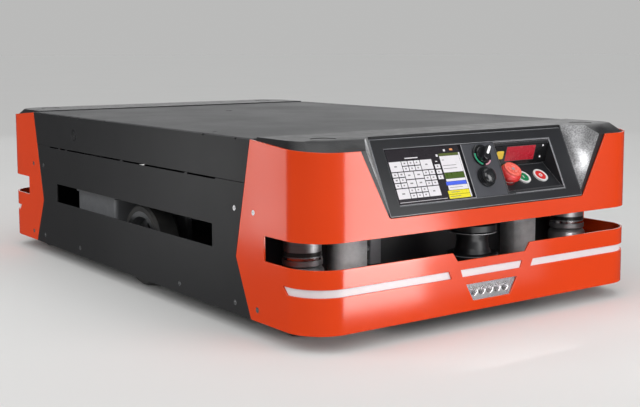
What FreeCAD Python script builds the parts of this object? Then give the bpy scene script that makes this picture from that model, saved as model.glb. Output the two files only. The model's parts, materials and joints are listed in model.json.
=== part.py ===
import FreeCAD, Part
import math
import os
import re
import Sketcher
from FreeCAD import Placement, Rotation, Vector

# Under-ride transport robot. Millimetres, +Z up, the origin on the floor below
# the middle of the body, the front (control panel end) towards -Y.

SIZES = {
    # whole body
    "body_length": 1256,
    "body_width": 752,
    "corner_radius": 66,
    "sheet_gauge": 3,
    "floor_gap": 28,
    "seam": 1.2,
    # end skirts, side view
    "wing_top_y": 461,
    "wing_kink_y": 415,
    "wing_foot_y": 460,
    "wing_top_z": 321,
    "wing_side_z": 313,
    "wing_front_z": 309,
    "wing_kink_z": 125,
    # laser slot round each end
    "slot_low_z": 130,
    "slot_high_z": 171,
    "slot_wing_y": 500,
    "dip_top_half": 90.5,
    "dip_foot_half": 79,
    "dip_foot_z": 115,
    # light bar slots
    "light_low_z": 87,
    "light_high_z": 100,
    "light_mid_top": 72.4,
    "light_mid_foot": 67.5,
    "light_side_top": 97.5,
    "light_side_foot": 91.6,
    "light_end_top": 552,
    "light_end_foot": 565,
    # lamp opening
    "lamp_top_z": 73.7,
    "lamp_foot_z": 44.4,
    "lamp_top_half": 59.5,
    "lamp_foot_half": 43,
    # console opening and console
    "cut_top_half": 282,
    "cut_foot_half": 224,
    "cut_foot_z": 199.5,
    "console_y": 628,
    "console_z": 201.4,
    "console_tilt": 64.3,
    "console_half": 222,
    "console_height": 131.4,
    "console_flare": 1.07,
    "window_left": 197,
    "window_right": 184.4,
    "window_low": 16.5,
    "window_high": 113,
    "plate_left": 30,
    "plate_right": 45,
    # sides
    "seam_low_z": 246.5,
    "seam_high_z": 250,
    "side_slot_half": 338,
    "side_slot_low": 129.6,
    "side_slot_high": 170,
    "plug_y": 235.5,
    "plug_z": 282,
    "plug_radius": 15,
    # deck
    "deck_half_x": 372,
    "deck_half_y": 459,
    "deck_top_z": 322,
    "deck_gauge": 8,
    "insert_x": 340,
    "insert_y": 290,
    "insert_radius": 4.5,
    # cover screws
    "screw_head": 4.4,
    "screw_shank": 2.9,
    "screw_length": 5.8,
    # end covers
    "cover_half": 371.5,
    "cover_front_y": 623.5,
    "cover_rear_y": 461.5,
    "cover_low_z": 185,
    "cover_top_z": 324,
    "cover_top_half": 362,
    "cover_top_y": 602,
    "cover_wall": 3,
    # chassis
    "floor_low_z": 34,
    "floor_gauge": 6,
    "frame_half": 373,
    "floor_end_y": 462,
    "wheel_bay_x": 284,
    "tongue_half": 180,
    "tongue_y": 624.9,
    "lamp_bay_half": 100,
    "lamp_bay_y": 600,
    "member_y": 466,
    "member_gauge": 4,
    "shelf_top_z": 240,
    "shelf_gauge": 6,
    # castors
    "castor_x": 311,
    "castor_y": 513,
    "castor_radius": 37.5,
    "castor_width": 28,
    "castor_trail": 20,
    "castor_sweep": 62,
    "column_radius": 31,
    "column_low_z": 118.5,
    "stem_radius": 12,
    "seat_x": 298,
    "seat_y": 553,
    "seat_radius": 21,
    "post_inner_x": 175,
    "post_outer_x": 230,
    "post_front_y": 508,
    "post_low_z": 58,
    "scanner_y": 578,
    # drive wheels
    "drive_x": 318,
    "drive_radius": 80,
    "drive_width": 46,
    "hub_radius": 66,
    "axle_radius": 12.5,
    # lift
    "lift_x": 270,
    "lift_y": 350,
    "rod_radius": 15,
    "tube_radius": 26,
    # fits
    "running_gap": 0.05,
    "free_gap": 0.3,
    # controls
    "button_row": 27,
    "notch_low_v": 24,
    "notch_low_w": 5,
    "notch_deep_v": 76,
    "notch_deep_w": 30,
    "notch_high_v": 109.5,
    "stop_x": 66.3,
    "green_x": 107,
    "red_x": 150,
    "collar_radius": 14.5,
    "cap_radius": 10.7,
    "button_stem": 6,
    "mushroom_radius": 19.3,
    "selector_x": 9,
    "selector_v": 90,
    "selector_radius": 19.5,
    "selector_rest": 40,
    "dome_x": 4,
    "dome_v": 51,
    "dome_radius": 15.5,
}

doc = FreeCAD.newDocument("transport_robot")
sheet = doc.addObject("Spreadsheet::Sheet", "Sizes")
for row, (alias, value) in enumerate(SIZES.items(), start=1):
    sheet.set("A%d" % row, alias)
    sheet.set("B%d" % row, str(value))
    sheet.setAlias("B%d" % row, alias)
doc.recompute()

SIDES = {"left": -1, "right": 1}
ENDS = {"front": 0, "rear": 180}
FACES = {"plan": "XY_Plane", "front": "XZ_Plane", "side": "YZ_Plane"}


def bound(expression):
    # Turns size names into references to the sheet's cells.
    words = r"[a-z]\w*"
    return re.sub(words, lambda word: ("Sizes." if word.group() in SIZES else "") + word.group(),
                  str(expression))


def size(expression):
    value = sheet.evalExpression(bound(expression))
    return float(getattr(value, "Value", value))


def new_body(name):
    body = doc.addObject("PartDesign::Body", name)
    body.Label = name
    body.AllowCompound = True
    return body


def new_sketch(body, face, offset="0"):
    # A sketch on one of the body's own planes, moved along that plane's normal:
    # plan +Z, front -Y, side +X.
    sketch = body.newObject("Sketcher::SketchObject", body.Name + "_sketch")
    plane = next(item for item in body.Origin.OriginFeatures if item.Role == FACES[face])
    sketch.AttachmentSupport = (plane, [""])
    sketch.MapMode = "FlatFace"
    sketch.AttachmentOffset = Placement(Vector(0, 0, size(offset)), Rotation())
    sketch.setExpression("AttachmentOffset.Base.z", bound(offset))
    return sketch


def fix_point(sketch, geometry, end, across, up):
    for kind, expression in (("DistanceX", across), ("DistanceY", up)):
        rule = sketch.addConstraint(Sketcher.Constraint(kind, -1, 1, geometry, end, size(expression)))
        sketch.setExpression("Constraints[%d]" % rule, bound(expression))


def draw_polygon(sketch, corners):
    # Straight sides through corners, each a pair of expressions.
    points = [Vector(size(across), size(up), 0) for across, up in corners]
    lines = [sketch.addGeometry(Part.LineSegment(points[i], points[(i + 1) % len(points)]), False)
             for i in range(len(points))]
    for i, line in enumerate(lines):
        sketch.addConstraint(Sketcher.Constraint("Coincident", line, 2, lines[(i + 1) % len(lines)], 1))
        fix_point(sketch, line, 1, *corners[i])


def draw_box(sketch, left, right, low, high):
    draw_polygon(sketch, [(left, low), (right, low), (right, high), (left, high)])


def draw_circle(sketch, across, up, radius):
    circle = sketch.addGeometry(
        Part.Circle(Vector(size(across), size(up), 0), Vector(0, 0, 1), size(radius)), False)
    fix_point(sketch, circle, 3, across, up)
    rule = sketch.addConstraint(Sketcher.Constraint("Radius", circle, size(radius)))
    sketch.setExpression("Constraints[%d]" % rule, bound(radius))


def draw_rounded_end(sketch, half, rear, front, radius):
    # A rectangle whose two front corners are arcs; rear and front are distances towards -Y.
    a, r, b, c = (size(value) for value in (half, radius, rear, front))
    corners = [("-(%s)" % half, "-(%s)" % rear), ("-(%s)" % half, "-((%s) - (%s))" % (front, radius)),
               ("-((%s) - (%s))" % (half, radius), "-(%s)" % front),
               ("(%s) - (%s)" % (half, radius), "-(%s)" % front),
               (half, "-((%s) - (%s))" % (front, radius)), (half, "-(%s)" % rear)]
    points = [Vector(size(x), size(y), 0) for x, y in corners]
    arc_left = Part.Arc(points[1], Vector(-a + r - r / math.sqrt(2), -c + r - r / math.sqrt(2), 0), points[2])
    arc_right = Part.Arc(points[3], Vector(a - r + r / math.sqrt(2), -c + r - r / math.sqrt(2), 0), points[4])
    parts = [Part.LineSegment(points[0], points[1]), arc_left, Part.LineSegment(points[2], points[3]),
             arc_right, Part.LineSegment(points[4], points[5]), Part.LineSegment(points[5], points[0])]
    ids = [sketch.addGeometry(part, False) for part in parts]
    for line, corner in ((0, 0), (2, 2), (4, 4), (5, 5)):
        fix_point(sketch, ids[line], 1, *corners[corner])
    fix_point(sketch, ids[0], 2, *corners[1])
    fix_point(sketch, ids[2], 2, *corners[3])
    ends = {1: (0, 2), 3: (2, 4)}
    for arc, (before, after) in ends.items():
        # An arc drawn clockwise or not starts at whichever end is nearer the line before it.
        start = parts[arc].value(parts[arc].FirstParameter)
        first = 1 if start.distanceToPoint(parts[before].EndPoint) < 1e-6 else 2
        sketch.addConstraint(Sketcher.Constraint("Coincident", ids[before], 2, ids[arc], first))
        sketch.addConstraint(Sketcher.Constraint("Coincident", ids[after], 1, ids[arc], 3 - first))
        rule = sketch.addConstraint(Sketcher.Constraint("Radius", ids[arc], r))
        sketch.setExpression("Constraints[%d]" % rule, bound(radius))
    sketch.addConstraint(Sketcher.Constraint("Coincident", ids[4], 2, ids[5], 1))
    sketch.addConstraint(Sketcher.Constraint("Coincident", ids[5], 2, ids[0], 1))


def feature(body, kind, sketch, length=None, backwards=False, taper=None):
    item = body.newObject("PartDesign::" + kind, "%s_%s" % (body.Name, kind))
    item.Profile = sketch
    item.Reversed = backwards
    if length is None:
        item.Type = "ThroughAll"
    else:
        item.Type = "Length"
        item.setExpression("Length", bound(length))
    if taper is not None:
        item.TaperAngle = taper
    body.Tip = item
    sketch.Visibility = False
    return item


def pad(body, face, start, length, draw, *loops):
    sketch = new_sketch(body, face, start)
    for loop in loops:
        draw(sketch, *loop)
    return feature(body, "Pad", sketch, length)


def pocket(body, face, start, length, draw, *loops, backwards=False, taper=None):
    # Cuts from the sketch plane against its normal, or along it when backwards.
    doc.recompute()
    before = body.Shape.Volume
    sketch = new_sketch(body, face, start)
    for loop in loops:
        draw(sketch, *loop)
    item = feature(body, "Pocket", sketch, length, backwards, taper)
    doc.recompute()
    if not body.Shape.Volume < before - 0.01:
        raise RuntimeError("a pocket in %s cuts nothing" % body.Label)
    return item


def spin(body, face, corners, axis="V_Axis", kind="Revolution"):
    sketch = new_sketch(body, face)
    draw_polygon(sketch, corners)
    item = body.newObject("PartDesign::" + kind, "%s_%s" % (body.Name, kind))
    item.Profile = sketch
    item.ReferenceAxis = (sketch, [axis])
    item.Angle = 360
    body.Tip = item
    sketch.Visibility = False
    return item


def dress(body, kind, amount, wanted):
    # Fillet or Chamfer on the edges for which wanted(edge) holds.
    doc.recompute()
    base = body.Tip
    names = ["Edge%d" % (i + 1) for i, edge in enumerate(base.Shape.Edges) if wanted(edge)]
    if not names:
        raise RuntimeError("no edge to dress in " + body.Label)
    item = body.newObject("PartDesign::" + kind, "%s_%s" % (body.Name, kind))
    item.Base = (base, names)
    item.setExpression("Radius" if kind == "Fillet" else "Size", bound(amount))
    body.Tip = item
    doc.recompute()
    return item


def polar(body, source, axis, count):
    item = body.newObject("PartDesign::PolarPattern", body.Name + "_pattern")
    item.Originals = [source]
    item.Axis = (axis, ["N_Axis"])
    item.Angle = 360
    item.Occurrences = count
    body.Tip = item
    doc.recompute()
    return item


def place(body, across="0", along="0", up="0", turn=0, tilt=None):
    # tilt leans the body's own XY plane back about X, by an expression in degrees.
    body.Placement = Placement(Vector(size(across), size(along), size(up)),
                               Rotation(Vector(0, 0, 1), turn) if tilt is None
                               else Rotation(Vector(1, 0, 0), size(tilt)))
    for name, expression in (("x", across), ("y", along), ("z", up)):
        body.setExpression("Placement.Base." + name, bound(expression))
    if tilt is not None:
        body.setExpression("Placement.Rotation.Angle", bound(tilt))


def upright_at(edge, x, y, reach=3):
    # True for a vertical edge within reach of (|x|, y).
    box = edge.BoundBox
    return (box.ZLength > 5 and box.XLength < 0.1 and box.YLength < 0.1
            and abs(abs(box.XMin) - x) < reach and abs(box.YMin - y) < reach)


# ---------------------------------------------------------------- end skirts

def make_skirt(name, turn, with_console):
    body = new_body(name)
    half, front = "body_width / 2", "body_length / 2"
    pad(body, "plan", "floor_gap", "wing_top_z - floor_gap", draw_box,
        ("-%s" % half, half, "-%s" % front, "-wing_kink_y"))
    dress(body, "Fillet", "corner_radius",
          lambda edge: upright_at(edge, size(half), -size(front)))
    # The inside of the bent sheet, its corners concentric with the outside.
    pocket(body, "plan", "wing_top_z", None, draw_rounded_end,
           ("body_width / 2 - sheet_gauge", "wing_kink_y - 5", "body_length / 2 - sheet_gauge",
            "corner_radius - sheet_gauge"))
    trim_wings(body)
    # Slot for the laser's view, through both wings and the whole front.
    pocket(body, "side", "body_width", None, draw_box,
           ("-body_length", "-slot_wing_y", "slot_low_z", "slot_high_z"))
    cuts = [
        [("-dip_top_half", "slot_low_z + 1"), ("dip_top_half", "slot_low_z + 1"),
         ("dip_foot_half", "dip_foot_z"), ("-dip_foot_half", "dip_foot_z")],
        [("-light_mid_top", "light_high_z"), ("light_mid_top", "light_high_z"),
         ("light_mid_foot", "light_low_z"), ("-light_mid_foot", "light_low_z")],
        [("-lamp_top_half", "lamp_top_z"), ("lamp_top_half", "lamp_top_z"),
         ("lamp_foot_half", "lamp_foot_z"), ("-lamp_foot_half", "lamp_foot_z")],
    ]
    straight = "body_width / 2 - corner_radius"
    for sign in ("", "-"):
        cuts.append([(sign + "light_side_top", "light_high_z"), (sign + "(%s)" % straight, "light_high_z"),
                     (sign + "(%s)" % straight, "light_low_z"), (sign + "light_side_foot", "light_low_z")])
    if with_console:
        cuts.append([("-cut_top_half", "wing_front_z + 1"), ("cut_top_half", "wing_front_z + 1"),
                     ("cut_foot_half", "cut_foot_z"), ("-cut_foot_half", "cut_foot_z")])
    pocket(body, "front", "body_length", "body_length / 2 + corner_radius", draw_polygon,
           *[(cut,) for cut in cuts])
    # The same light slots carried on round the corners, ending on a slant in the wings.
    round_corner = [("-body_length", "light_high_z"), ("-light_end_top", "light_high_z"),
                    ("-light_end_foot", "light_low_z"), ("-body_length", "light_low_z")]
    for start, backwards in (("body_width", False), ("-body_width", True)):
        pocket(body, "side", start, "body_width / 2 + corner_radius", draw_polygon, (round_corner,),
               backwards=backwards)
    pocket(body, "side", "body_width", None, draw_circle,
           *[(y, z, "4.7") for y, z in wing_screws()])
    if with_console:
        dress(body, "Fillet", "8", lambda edge: (
            abs(edge.BoundBox.ZMin - size("cut_foot_z")) < 0.1 and edge.BoundBox.ZLength < 0.1
            and edge.BoundBox.XLength < 0.1 and abs(abs(edge.BoundBox.XMin) - size("cut_foot_half")) < 1))
    place(body, turn=turn)


def trim_wings(body):
    # Side view of the wings: raked rear edge, and a top that falls towards the front.
    rear = [("-wing_top_y", "wing_top_z"), ("-wing_kink_y", "wing_kink_z"), ("-wing_foot_y", "floor_gap"),
            ("-wing_foot_y", "0"), ("0", "0"), ("0", "wing_top_z + 9"), ("-wing_top_y", "wing_top_z + 9")]
    top = [("-wing_top_y", "wing_top_z"), ("-(body_length / 2 - corner_radius)", "wing_side_z"),
           ("-(body_length / 2 - 2)", "wing_front_z"), ("-body_length", "wing_front_z"),
           ("-body_length", "wing_top_z + 9"), ("-wing_top_y - 0.01", "wing_top_z + 9")]
    pocket(body, "side", "body_width", None, draw_polygon, (rear,))
    pocket(body, "side", "body_width", None, draw_polygon, (top,))


def wing_screws():
    return [("-466 - 3", "204"), ("-479", "47")]


def panel_screws():
    return [("411", "205"), ("-411", "205"), ("411", "47"), ("-411", "47"), ("219", "45"), ("-219", "45")]


# ---------------------------------------------------------------- sides and deck

def make_side_panel(name, turn):
    # Lower side sheet between the skirts, with its long slot. Its top edge stops short of
    # the lifting strip, less so at the ends and at four small tabs.
    body = new_body(name)
    thin = "seam_high_z - 1"
    low = "floor_gap"
    seam_y = "(wing_kink_y + 28.5 - seam)"
    corners = [("-(wing_foot_y - seam)", low), ("wing_foot_y - seam", low),
               ("wing_kink_y - seam", "wing_kink_z"), (seam_y, "seam_low_z"), (seam_y, thin),
               ("350", thin), ("350", "seam_low_z")]
    for middle in (248, -11, -282, -319):
        corners += [(str(middle + 5), "seam_low_z"), (str(middle + 5), thin),
                    (str(middle - 5), thin), (str(middle - 5), "seam_low_z")]
    corners += [("-370", "seam_low_z"), ("-370", thin), ("-" + seam_y, thin), ("-" + seam_y, "seam_low_z"),
                ("-(wing_kink_y - seam)", "wing_kink_z")]
    pad(body, "side", "body_width / 2 - sheet_gauge", "sheet_gauge", draw_polygon, (corners,))
    pocket(body, "side", "body_width", None, draw_polygon,
           ([("-side_slot_half", "side_slot_low"), ("side_slot_half", "side_slot_low"),
             ("side_slot_half", "side_slot_high"), ("-side_slot_half", "side_slot_high")],))
    pocket(body, "side", "body_width", None, draw_circle, *[(y, z, "4.7") for y, z in panel_screws()])
    place(body, turn=turn)


def make_side_strip(name, turn):
    # Upper side sheet, bent in under the deck plate; it rises with the deck.
    body = new_body(name)
    ends = "(wing_kink_y + 29.5 - seam)"
    top = "(wing_top_y - seam)"
    corners = [("-" + ends, "seam_high_z"), (ends, "seam_high_z"), (top, "wing_top_z")]
    for middle in (417, 311, -84.5, -215, -258, -317, -421):
        corners += [(str(middle + 3), "wing_top_z"), (str(middle + 3), "wing_top_z - 3"),
                    (str(middle - 3), "wing_top_z - 3"), (str(middle - 3), "wing_top_z")]
    corners.append(("-" + top, "wing_top_z"))
    pad(body, "side", "body_width / 2 - sheet_gauge", "sheet_gauge", draw_polygon, (corners,))
    pad(body, "plan", "deck_top_z - deck_gauge - sheet_gauge", "sheet_gauge", draw_box,
        ("deck_half_x - 30", "body_width / 2 - sheet_gauge + 0.01", "-(deck_half_y - 15)", "deck_half_y - 15"))
    pocket(body, "side", "body_width", "body_width / 2 + sheet_gauge + 1", draw_circle,
           ("-plug_y", "plug_z", "plug_radius + 0.3"))
    place(body, turn=turn)


def make_side_plug(name, turn):
    # Round flush plug in the strip, with a ring groove and a centre hole.
    body = new_body(name)
    spin(body, "side", [("0", "0"), ("plug_radius", "0"), ("plug_radius", "2.4"),
                        ("plug_radius - 1", "3"), ("plug_radius - 3", "3"), ("plug_radius - 3", "1.4"),
                        ("plug_radius - 6", "1.4"), ("plug_radius - 6", "3"), ("0", "3")])
    spin(body, "side", [("0", "-6"), ("plug_radius - 5", "-6"), ("plug_radius + 4", "-3"),
                        ("plug_radius + 4", "0"), ("0", "0")])
    pocket(body, "plan", "10", "8.4", draw_circle, ("0", "0", "2.2"))
    side = 1 if turn == 0 else -1
    body.Placement = Placement(Vector(side * size("body_width / 2 - sheet_gauge"),
                                      -side * size("plug_y"), size("plug_z")),
                               Rotation(Vector(0, 1, 0), 90 * side))
    body.setExpression("Placement.Base.z", bound("plug_z"))


def make_deck():
    body = new_body("deck_plate")
    pad(body, "plan", "deck_top_z - deck_gauge", "deck_gauge", draw_box,
        ("-deck_half_x", "deck_half_x", "-deck_half_y", "deck_half_y"))
    dress(body, "Fillet", "4", lambda edge: upright_at(edge, size("deck_half_x"), edge.BoundBox.YMin))
    dress(body, "Chamfer", "1.2", lambda edge: abs(edge.BoundBox.ZMin - size("deck_top_z")) < 0.01)
    # Load fixing holes, and a small slotted lifting eye near the rear.
    pocket(body, "plan", "deck_top_z + 1", None, draw_circle,
           *[(a + "insert_x", b + "insert_y", "insert_radius") for a in ("", "-") for b in ("", "-")])
    pocket(body, "plan", "deck_top_z + 1", "4", draw_circle, ("0", "228", "9"))


# ---------------------------------------------------------------- end covers

def make_cover(name, turn, with_console):
    # Moulded top cover: upright walls inside the skirt, then a sloping shoulder up to the top face.
    body = new_body(name)
    pad(body, "plan", "cover_low_z", "wing_front_z - cover_low_z", draw_rounded_end,
        ("cover_half", "cover_rear_y", "cover_front_y", "corner_radius - sheet_gauge - 1.5"))
    lower = new_sketch(body, "plan", "wing_front_z")
    draw_rounded_end(lower, "cover_half", "cover_rear_y", "cover_front_y", "corner_radius - sheet_gauge - 1.5")
    upper = new_sketch(body, "plan", "cover_top_z")
    draw_rounded_end(upper, "cover_top_half", "cover_rear_y", "cover_top_y", "corner_radius - 4")
    shoulder = body.newObject("PartDesign::AdditiveLoft", name + "_shoulder")
    shoulder.Profile = lower
    shoulder.Sections = [upper]
    shoulder.Ruled = True
    body.Tip = shoulder
    # Hollow from below: a low chamber under the whole cover and a high one at its rear.
    wall = "cover_wall"
    reach = "console_y - 28" if with_console else "cover_front_y - cover_wall"
    pocket(body, "plan", "0", "shelf_top_z", draw_rounded_end,
           ("cover_half - %s" % wall, "cover_rear_y + %s" % wall, reach, "corner_radius - 8"), backwards=True)
    pocket(body, "plan", "0", "cover_top_z - cover_wall", draw_box,
           ("-cover_top_half + %s" % wall, "cover_top_half - %s" % wall, "-566", "-cover_rear_y - %s" % wall),
           backwards=True)
    # Reliefs for the frame's cheeks.
    pocket(body, "plan", "0", "shelf_top_z + 0.5", draw_box,
           ("-380", "-cover_half + 3.1", "-492", "-461"), ("cover_half - 3.1", "380", "-492", "-461"),
           backwards=True)
    # Shallow round seats near the outer corners.
    pocket(body, "plan", "cover_top_z + 1", "3.5", draw_circle,
           ("-seat_x", "-seat_y", "seat_radius"), ("seat_x", "-seat_y", "seat_radius"))
    if with_console:
        cut_console(body)
    place(body, turn=turn)


def cut_console(body):
    # A recess whose floor leans back and whose cheeks flare towards the front, then a
    # well behind it for the panel's modules. Both are drawn square to the leaning floor.
    lean = size("console_tilt") - 90
    slope = math.radians(size("console_tilt"))
    along = Vector(0, math.cos(slope), math.sin(slope))
    foot = Vector(0, -size("console_y"), size("console_z"))
    wide = "console_half + 0.6"
    recess = [("-(%s)" % wide, "4.2"), (wide, "4.2"), (wide, "0"),
              ("%s + console_flare * 60" % wide, "-60"), ("-(%s) - console_flare * 60" % wide, "-60"),
              ("-(%s)" % wide, "0")]
    well = [("-window_left - 4", "50"), ("window_right + 4", "50"),
            ("window_right + 4", "0"), ("-window_left - 4", "0")]
    for corners, start, length in ((recess, -0.6, "190"), (well, size("window_low") - 4,
                                                          "window_high - window_low + 8")):
        sketch = body.newObject("Sketcher::SketchObject", body.Name + "_sketch")
        sketch.Placement = Placement(foot + along * start, Rotation(Vector(1, 0, 0), lean))
        draw_polygon(sketch, corners)
        feature(body, "Pocket", sketch, length, backwards=True)


# ---------------------------------------------------------------- console

def console_body(name, u="0", v="0", w="0", steeper="0deg"):
    # A body drawn flat, X across, Y up the slope and Z out of it, set at (u, v, w) of the console.
    body = new_body(name)
    lean = "console_tilt"
    body.Placement = Placement(Vector(0, 0, 0), Rotation(Vector(1, 0, 0), size(lean) - size(steeper)))
    body.setExpression("Placement.Base.x", bound(u))
    body.setExpression("Placement.Base.y", bound(
        "-console_y + (%s) * cos(1deg * %s) - (%s) * sin(1deg * %s)" % (v, lean, w, lean)))
    body.setExpression("Placement.Base.z", bound(
        "console_z + (%s) * sin(1deg * %s) + (%s) * cos(1deg * %s)" % (v, lean, w, lean)))
    body.setExpression("Placement.Rotation.Angle", bound("1deg * %s - (%s)" % (lean, steeper)))
    return body


def make_bezel():
    body = console_body("console_bezel")
    pad(body, "plan", "-4", "4", draw_box, ("-console_half", "console_half", "0", "console_height"))
    dress(body, "Fillet", "3", lambda edge: edge.Length < 4.5 and edge.BoundBox.ZLength > 0 and
          edge.BoundBox.XLength < 0.1)
    pocket(body, "plan", "1", None, draw_box,
           ("-window_left", "window_right", "window_low", "window_high"))
    dress(body, "Chamfer", "1", lambda edge: on_local_top(edge, 0))


def on_local_top(edge, level):
    # True when all of an edge lies at this height of a feature's own frame.
    return all(abs(edge.valueAt(t).z - level) < 0.01 for t in edge.ParameterRange)


def make_display():
    body = console_body("display_module")
    pad(body, "plan", "-24", "23.4", draw_box,
        ("-window_left + 0.4", "-plate_left - 0.4", "window_low + 0.4", "window_high - 0.4"))
    pocket(body, "plan", "1", "2.2", draw_box,
           ("-window_left + 3.5", "-plate_left - 7", "window_low + 6", "window_high - 3.5"))


def make_control_plate():
    body = console_body("control_plate")
    pad(body, "plan", "-6", "5", draw_box,
        ("-plate_left", "plate_right", "window_low + 0.4", "window_high - 0.4"))
    pocket(body, "plan", "1", None, draw_circle,
           ("selector_x", "selector_v", "button_stem + running_gap"),
           ("dome_x", "dome_v", "button_stem + running_gap"))
    dress(body, "Chamfer", "0.6", lambda edge: on_local_top(edge, -1) and edge.Length > 20)


def low_face_angle():
    return "atan((notch_deep_w - notch_low_w) / (notch_deep_v - notch_low_v))"


def row_v():
    return "(notch_low_v + button_row * cos(%s))" % low_face_angle()


def row_w():
    return "(-notch_low_w - button_row * sin(%s))" % low_face_angle()


def make_recess():
    # Moulded well with a V-shaped floor: the lower face carries the buttons, the upper
    # one leans over them and carries the battery gauge.
    body = console_body("button_recess")
    left, right = "plate_right + 0.4", "window_right - 0.4"
    pad(body, "plan", "-46", "45.4", draw_box, (left, right, "window_low + 0.4", "window_high - 0.4"))
    profile = [("notch_low_v - 2", "2"), ("notch_low_v - 2", "-notch_low_w + 4.4"),
               ("notch_low_v", "-notch_low_w"), ("notch_deep_v", "-notch_deep_w"),
               ("notch_high_v", "-1"), ("notch_high_v", "2")]
    pocket(body, "side", "%s - 1.2" % right, "window_right - plate_right - 3.2", draw_polygon, (profile,))
    for across in ("stop_x", "green_x", "red_x"):
        for radius, depth in (("cap_radius + free_gap + 0.2", 8), ("button_stem + running_gap", 26)):
            sketch = body.newObject("Sketcher::SketchObject", body.Name + "_sketch")
            turn = math.degrees(math.atan((size("notch_deep_w") - size("notch_low_w"))
                                          / (size("notch_deep_v") - size("notch_low_v"))))
            sketch.Placement = Placement(Vector(0, size(row_v()), size(row_w())),
                                         Rotation(Vector(1, 0, 0), -turn))
            draw_circle(sketch, across, "0", radius)
            feature(body, "Pocket", sketch, str(depth))


def make_gauge():
    # Battery gauge: a thin black panel with a window, on the recess's upper face.
    lean = "-atan((notch_deep_w - 1) / (notch_high_v - notch_deep_v))"
    body = console_body("battery_gauge", "0", "notch_deep_v", "-notch_deep_w", lean)
    pad(body, "plan", "0.05", "2.4", draw_box, ("64", "177", "3.5", "39"))
    dress(body, "Fillet", "3", lambda edge: abs(edge.Length - 2.4) < 0.01)
    pocket(body, "plan", "3", "1.4", draw_box, ("79", "150", "7.5", "34"))


def make_button(name, across):
    # Flat push cap with a stem behind it; the cap's face is slightly dished.
    body = tilted_button(name, across)
    spin(body, "side", [("0", "-20"), ("button_stem", "-20"), ("button_stem", "-4"), ("cap_radius", "-4"),
                        ("cap_radius", "1.6"), ("cap_radius - 0.8", "2.4"), ("cap_radius - 3", "2.4"),
                        ("0", "1.7")])


def make_mushroom():
    body = tilted_button("emergency_stop", "stop_x")
    outline = [("0", "-20"), ("button_stem", "-20"), ("button_stem", "-4"), ("cap_radius", "-4"),
               ("cap_radius", "8"), ("cap_radius + 2", "10"), ("mushroom_radius - 1.5", "10"),
               ("mushroom_radius", "12"), ("mushroom_radius", "17"), ("mushroom_radius - 1.3", "20.5"),
               ("mushroom_radius - 5", "23.4"), ("mushroom_radius - 11", "25"), ("0", "25.6")]
    spin(body, "side", outline)


def make_collars():
    # Fixed rings round the three push buttons.
    body = tilted_button("button_collars", "0")
    for across in ("stop_x", "green_x", "red_x"):
        outer = "collar_radius" if across != "stop_x" else "collar_radius + 0.5"
        hole = (across, "0", "cap_radius + free_gap")
        pad(body, "plan", "0.02", "2.6", draw_circle, (across, "0", outer), hole)


def tilted_button(name, across):
    return console_body(name, across, row_v(), row_w(), low_face_angle())


def make_selector():
    ring = console_body("selector_ring", "selector_x", "selector_v", "-1")
    spin(ring, "side", [("selector_radius - 4.5", "0"), ("selector_radius", "0"), ("selector_radius", "3"),
                        ("selector_radius - 1", "4"), ("selector_radius - 3.5", "4"),
                        ("selector_radius - 4.5", "3")])
    # The dome button below has a plain collar, moulded with the ring.
    beside = ("dome_x - selector_x", "dome_v - selector_v")
    pad(ring, "plan", "0", "4.2", draw_circle,
        beside + ("dome_radius + 2.3",), beside + ("dome_radius - 0.5",))
    knob = console_body("selector_knob", "selector_x", "selector_v", "-1")
    radius = "selector_radius - 4.5 - free_gap - 0.2"
    spin(knob, "side", [("0", "-18"), ("button_stem", "-18"), ("button_stem", "0.4"), (radius, "0.4"),
                        (radius, "6"), ("%s - 1.2" % radius, "7.4"), ("0", "7.4")])
    # The grip stands at the right-hand detent.
    grip = new_sketch(knob, "plan", "7.3")
    grip.AttachmentOffset = Placement(Vector(0, 0, 7.3), Rotation(Vector(0, 0, 1), -size("selector_rest")))
    draw_polygon(grip, [("3", "-14"), ("4.6", "-12"), ("4.6", "12.5"), ("2.4", "15"), ("-2.4", "15"),
                        ("-4.6", "12.5"), ("-4.6", "-12"), ("-3", "-14")])
    feature(knob, "Pad", grip, "11")
    dress(knob, "Fillet", "1.2", lambda edge: on_local_top(edge, 18.3))


def make_dome():
    body = console_body("dome_button", "dome_x", "dome_v", "-1")
    spin(body, "side", [("0", "-18"), ("button_stem", "-18"), ("button_stem", "4"), ("dome_radius - 2", "4"),
                        ("dome_radius - 1", "5"), ("dome_radius - 1", "9"), ("dome_radius - 2.2", "12.2"),
                        ("dome_radius - 5", "14.6"), ("dome_radius - 9", "16"), ("0", "16.6")])


# ---------------------------------------------------------------- lights and laser scanners

def make_light_bars(name, turn):
    # White diffusers just behind the skirt's light slots: one in the middle, one round each corner.
    body = new_body(name)
    inset = "(sheet_gauge + 0.1)"
    low, high = "light_low_z - 3", "light_high_z + 3"
    pad(body, "plan", low, "light_high_z - light_low_z + 6", draw_rounded_end,
        ("body_width / 2 - %s" % inset, "540", "body_length / 2 - %s" % inset, "corner_radius - %s" % inset))
    pocket(body, "plan", high, None, draw_rounded_end,
           ("body_width / 2 - %s - 6" % inset, "500", "body_length / 2 - %s - 6" % inset,
            "corner_radius - %s - 6" % inset))
    pocket(body, "front", "body_length", None, draw_box,
           ("-light_side_foot + 5", "-light_mid_top - 4", low + " - 1", high + " + 1"),
           ("light_mid_top + 4", "light_side_foot - 5", low + " - 1", high + " + 1"))
    place(body, turn=turn)


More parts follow.
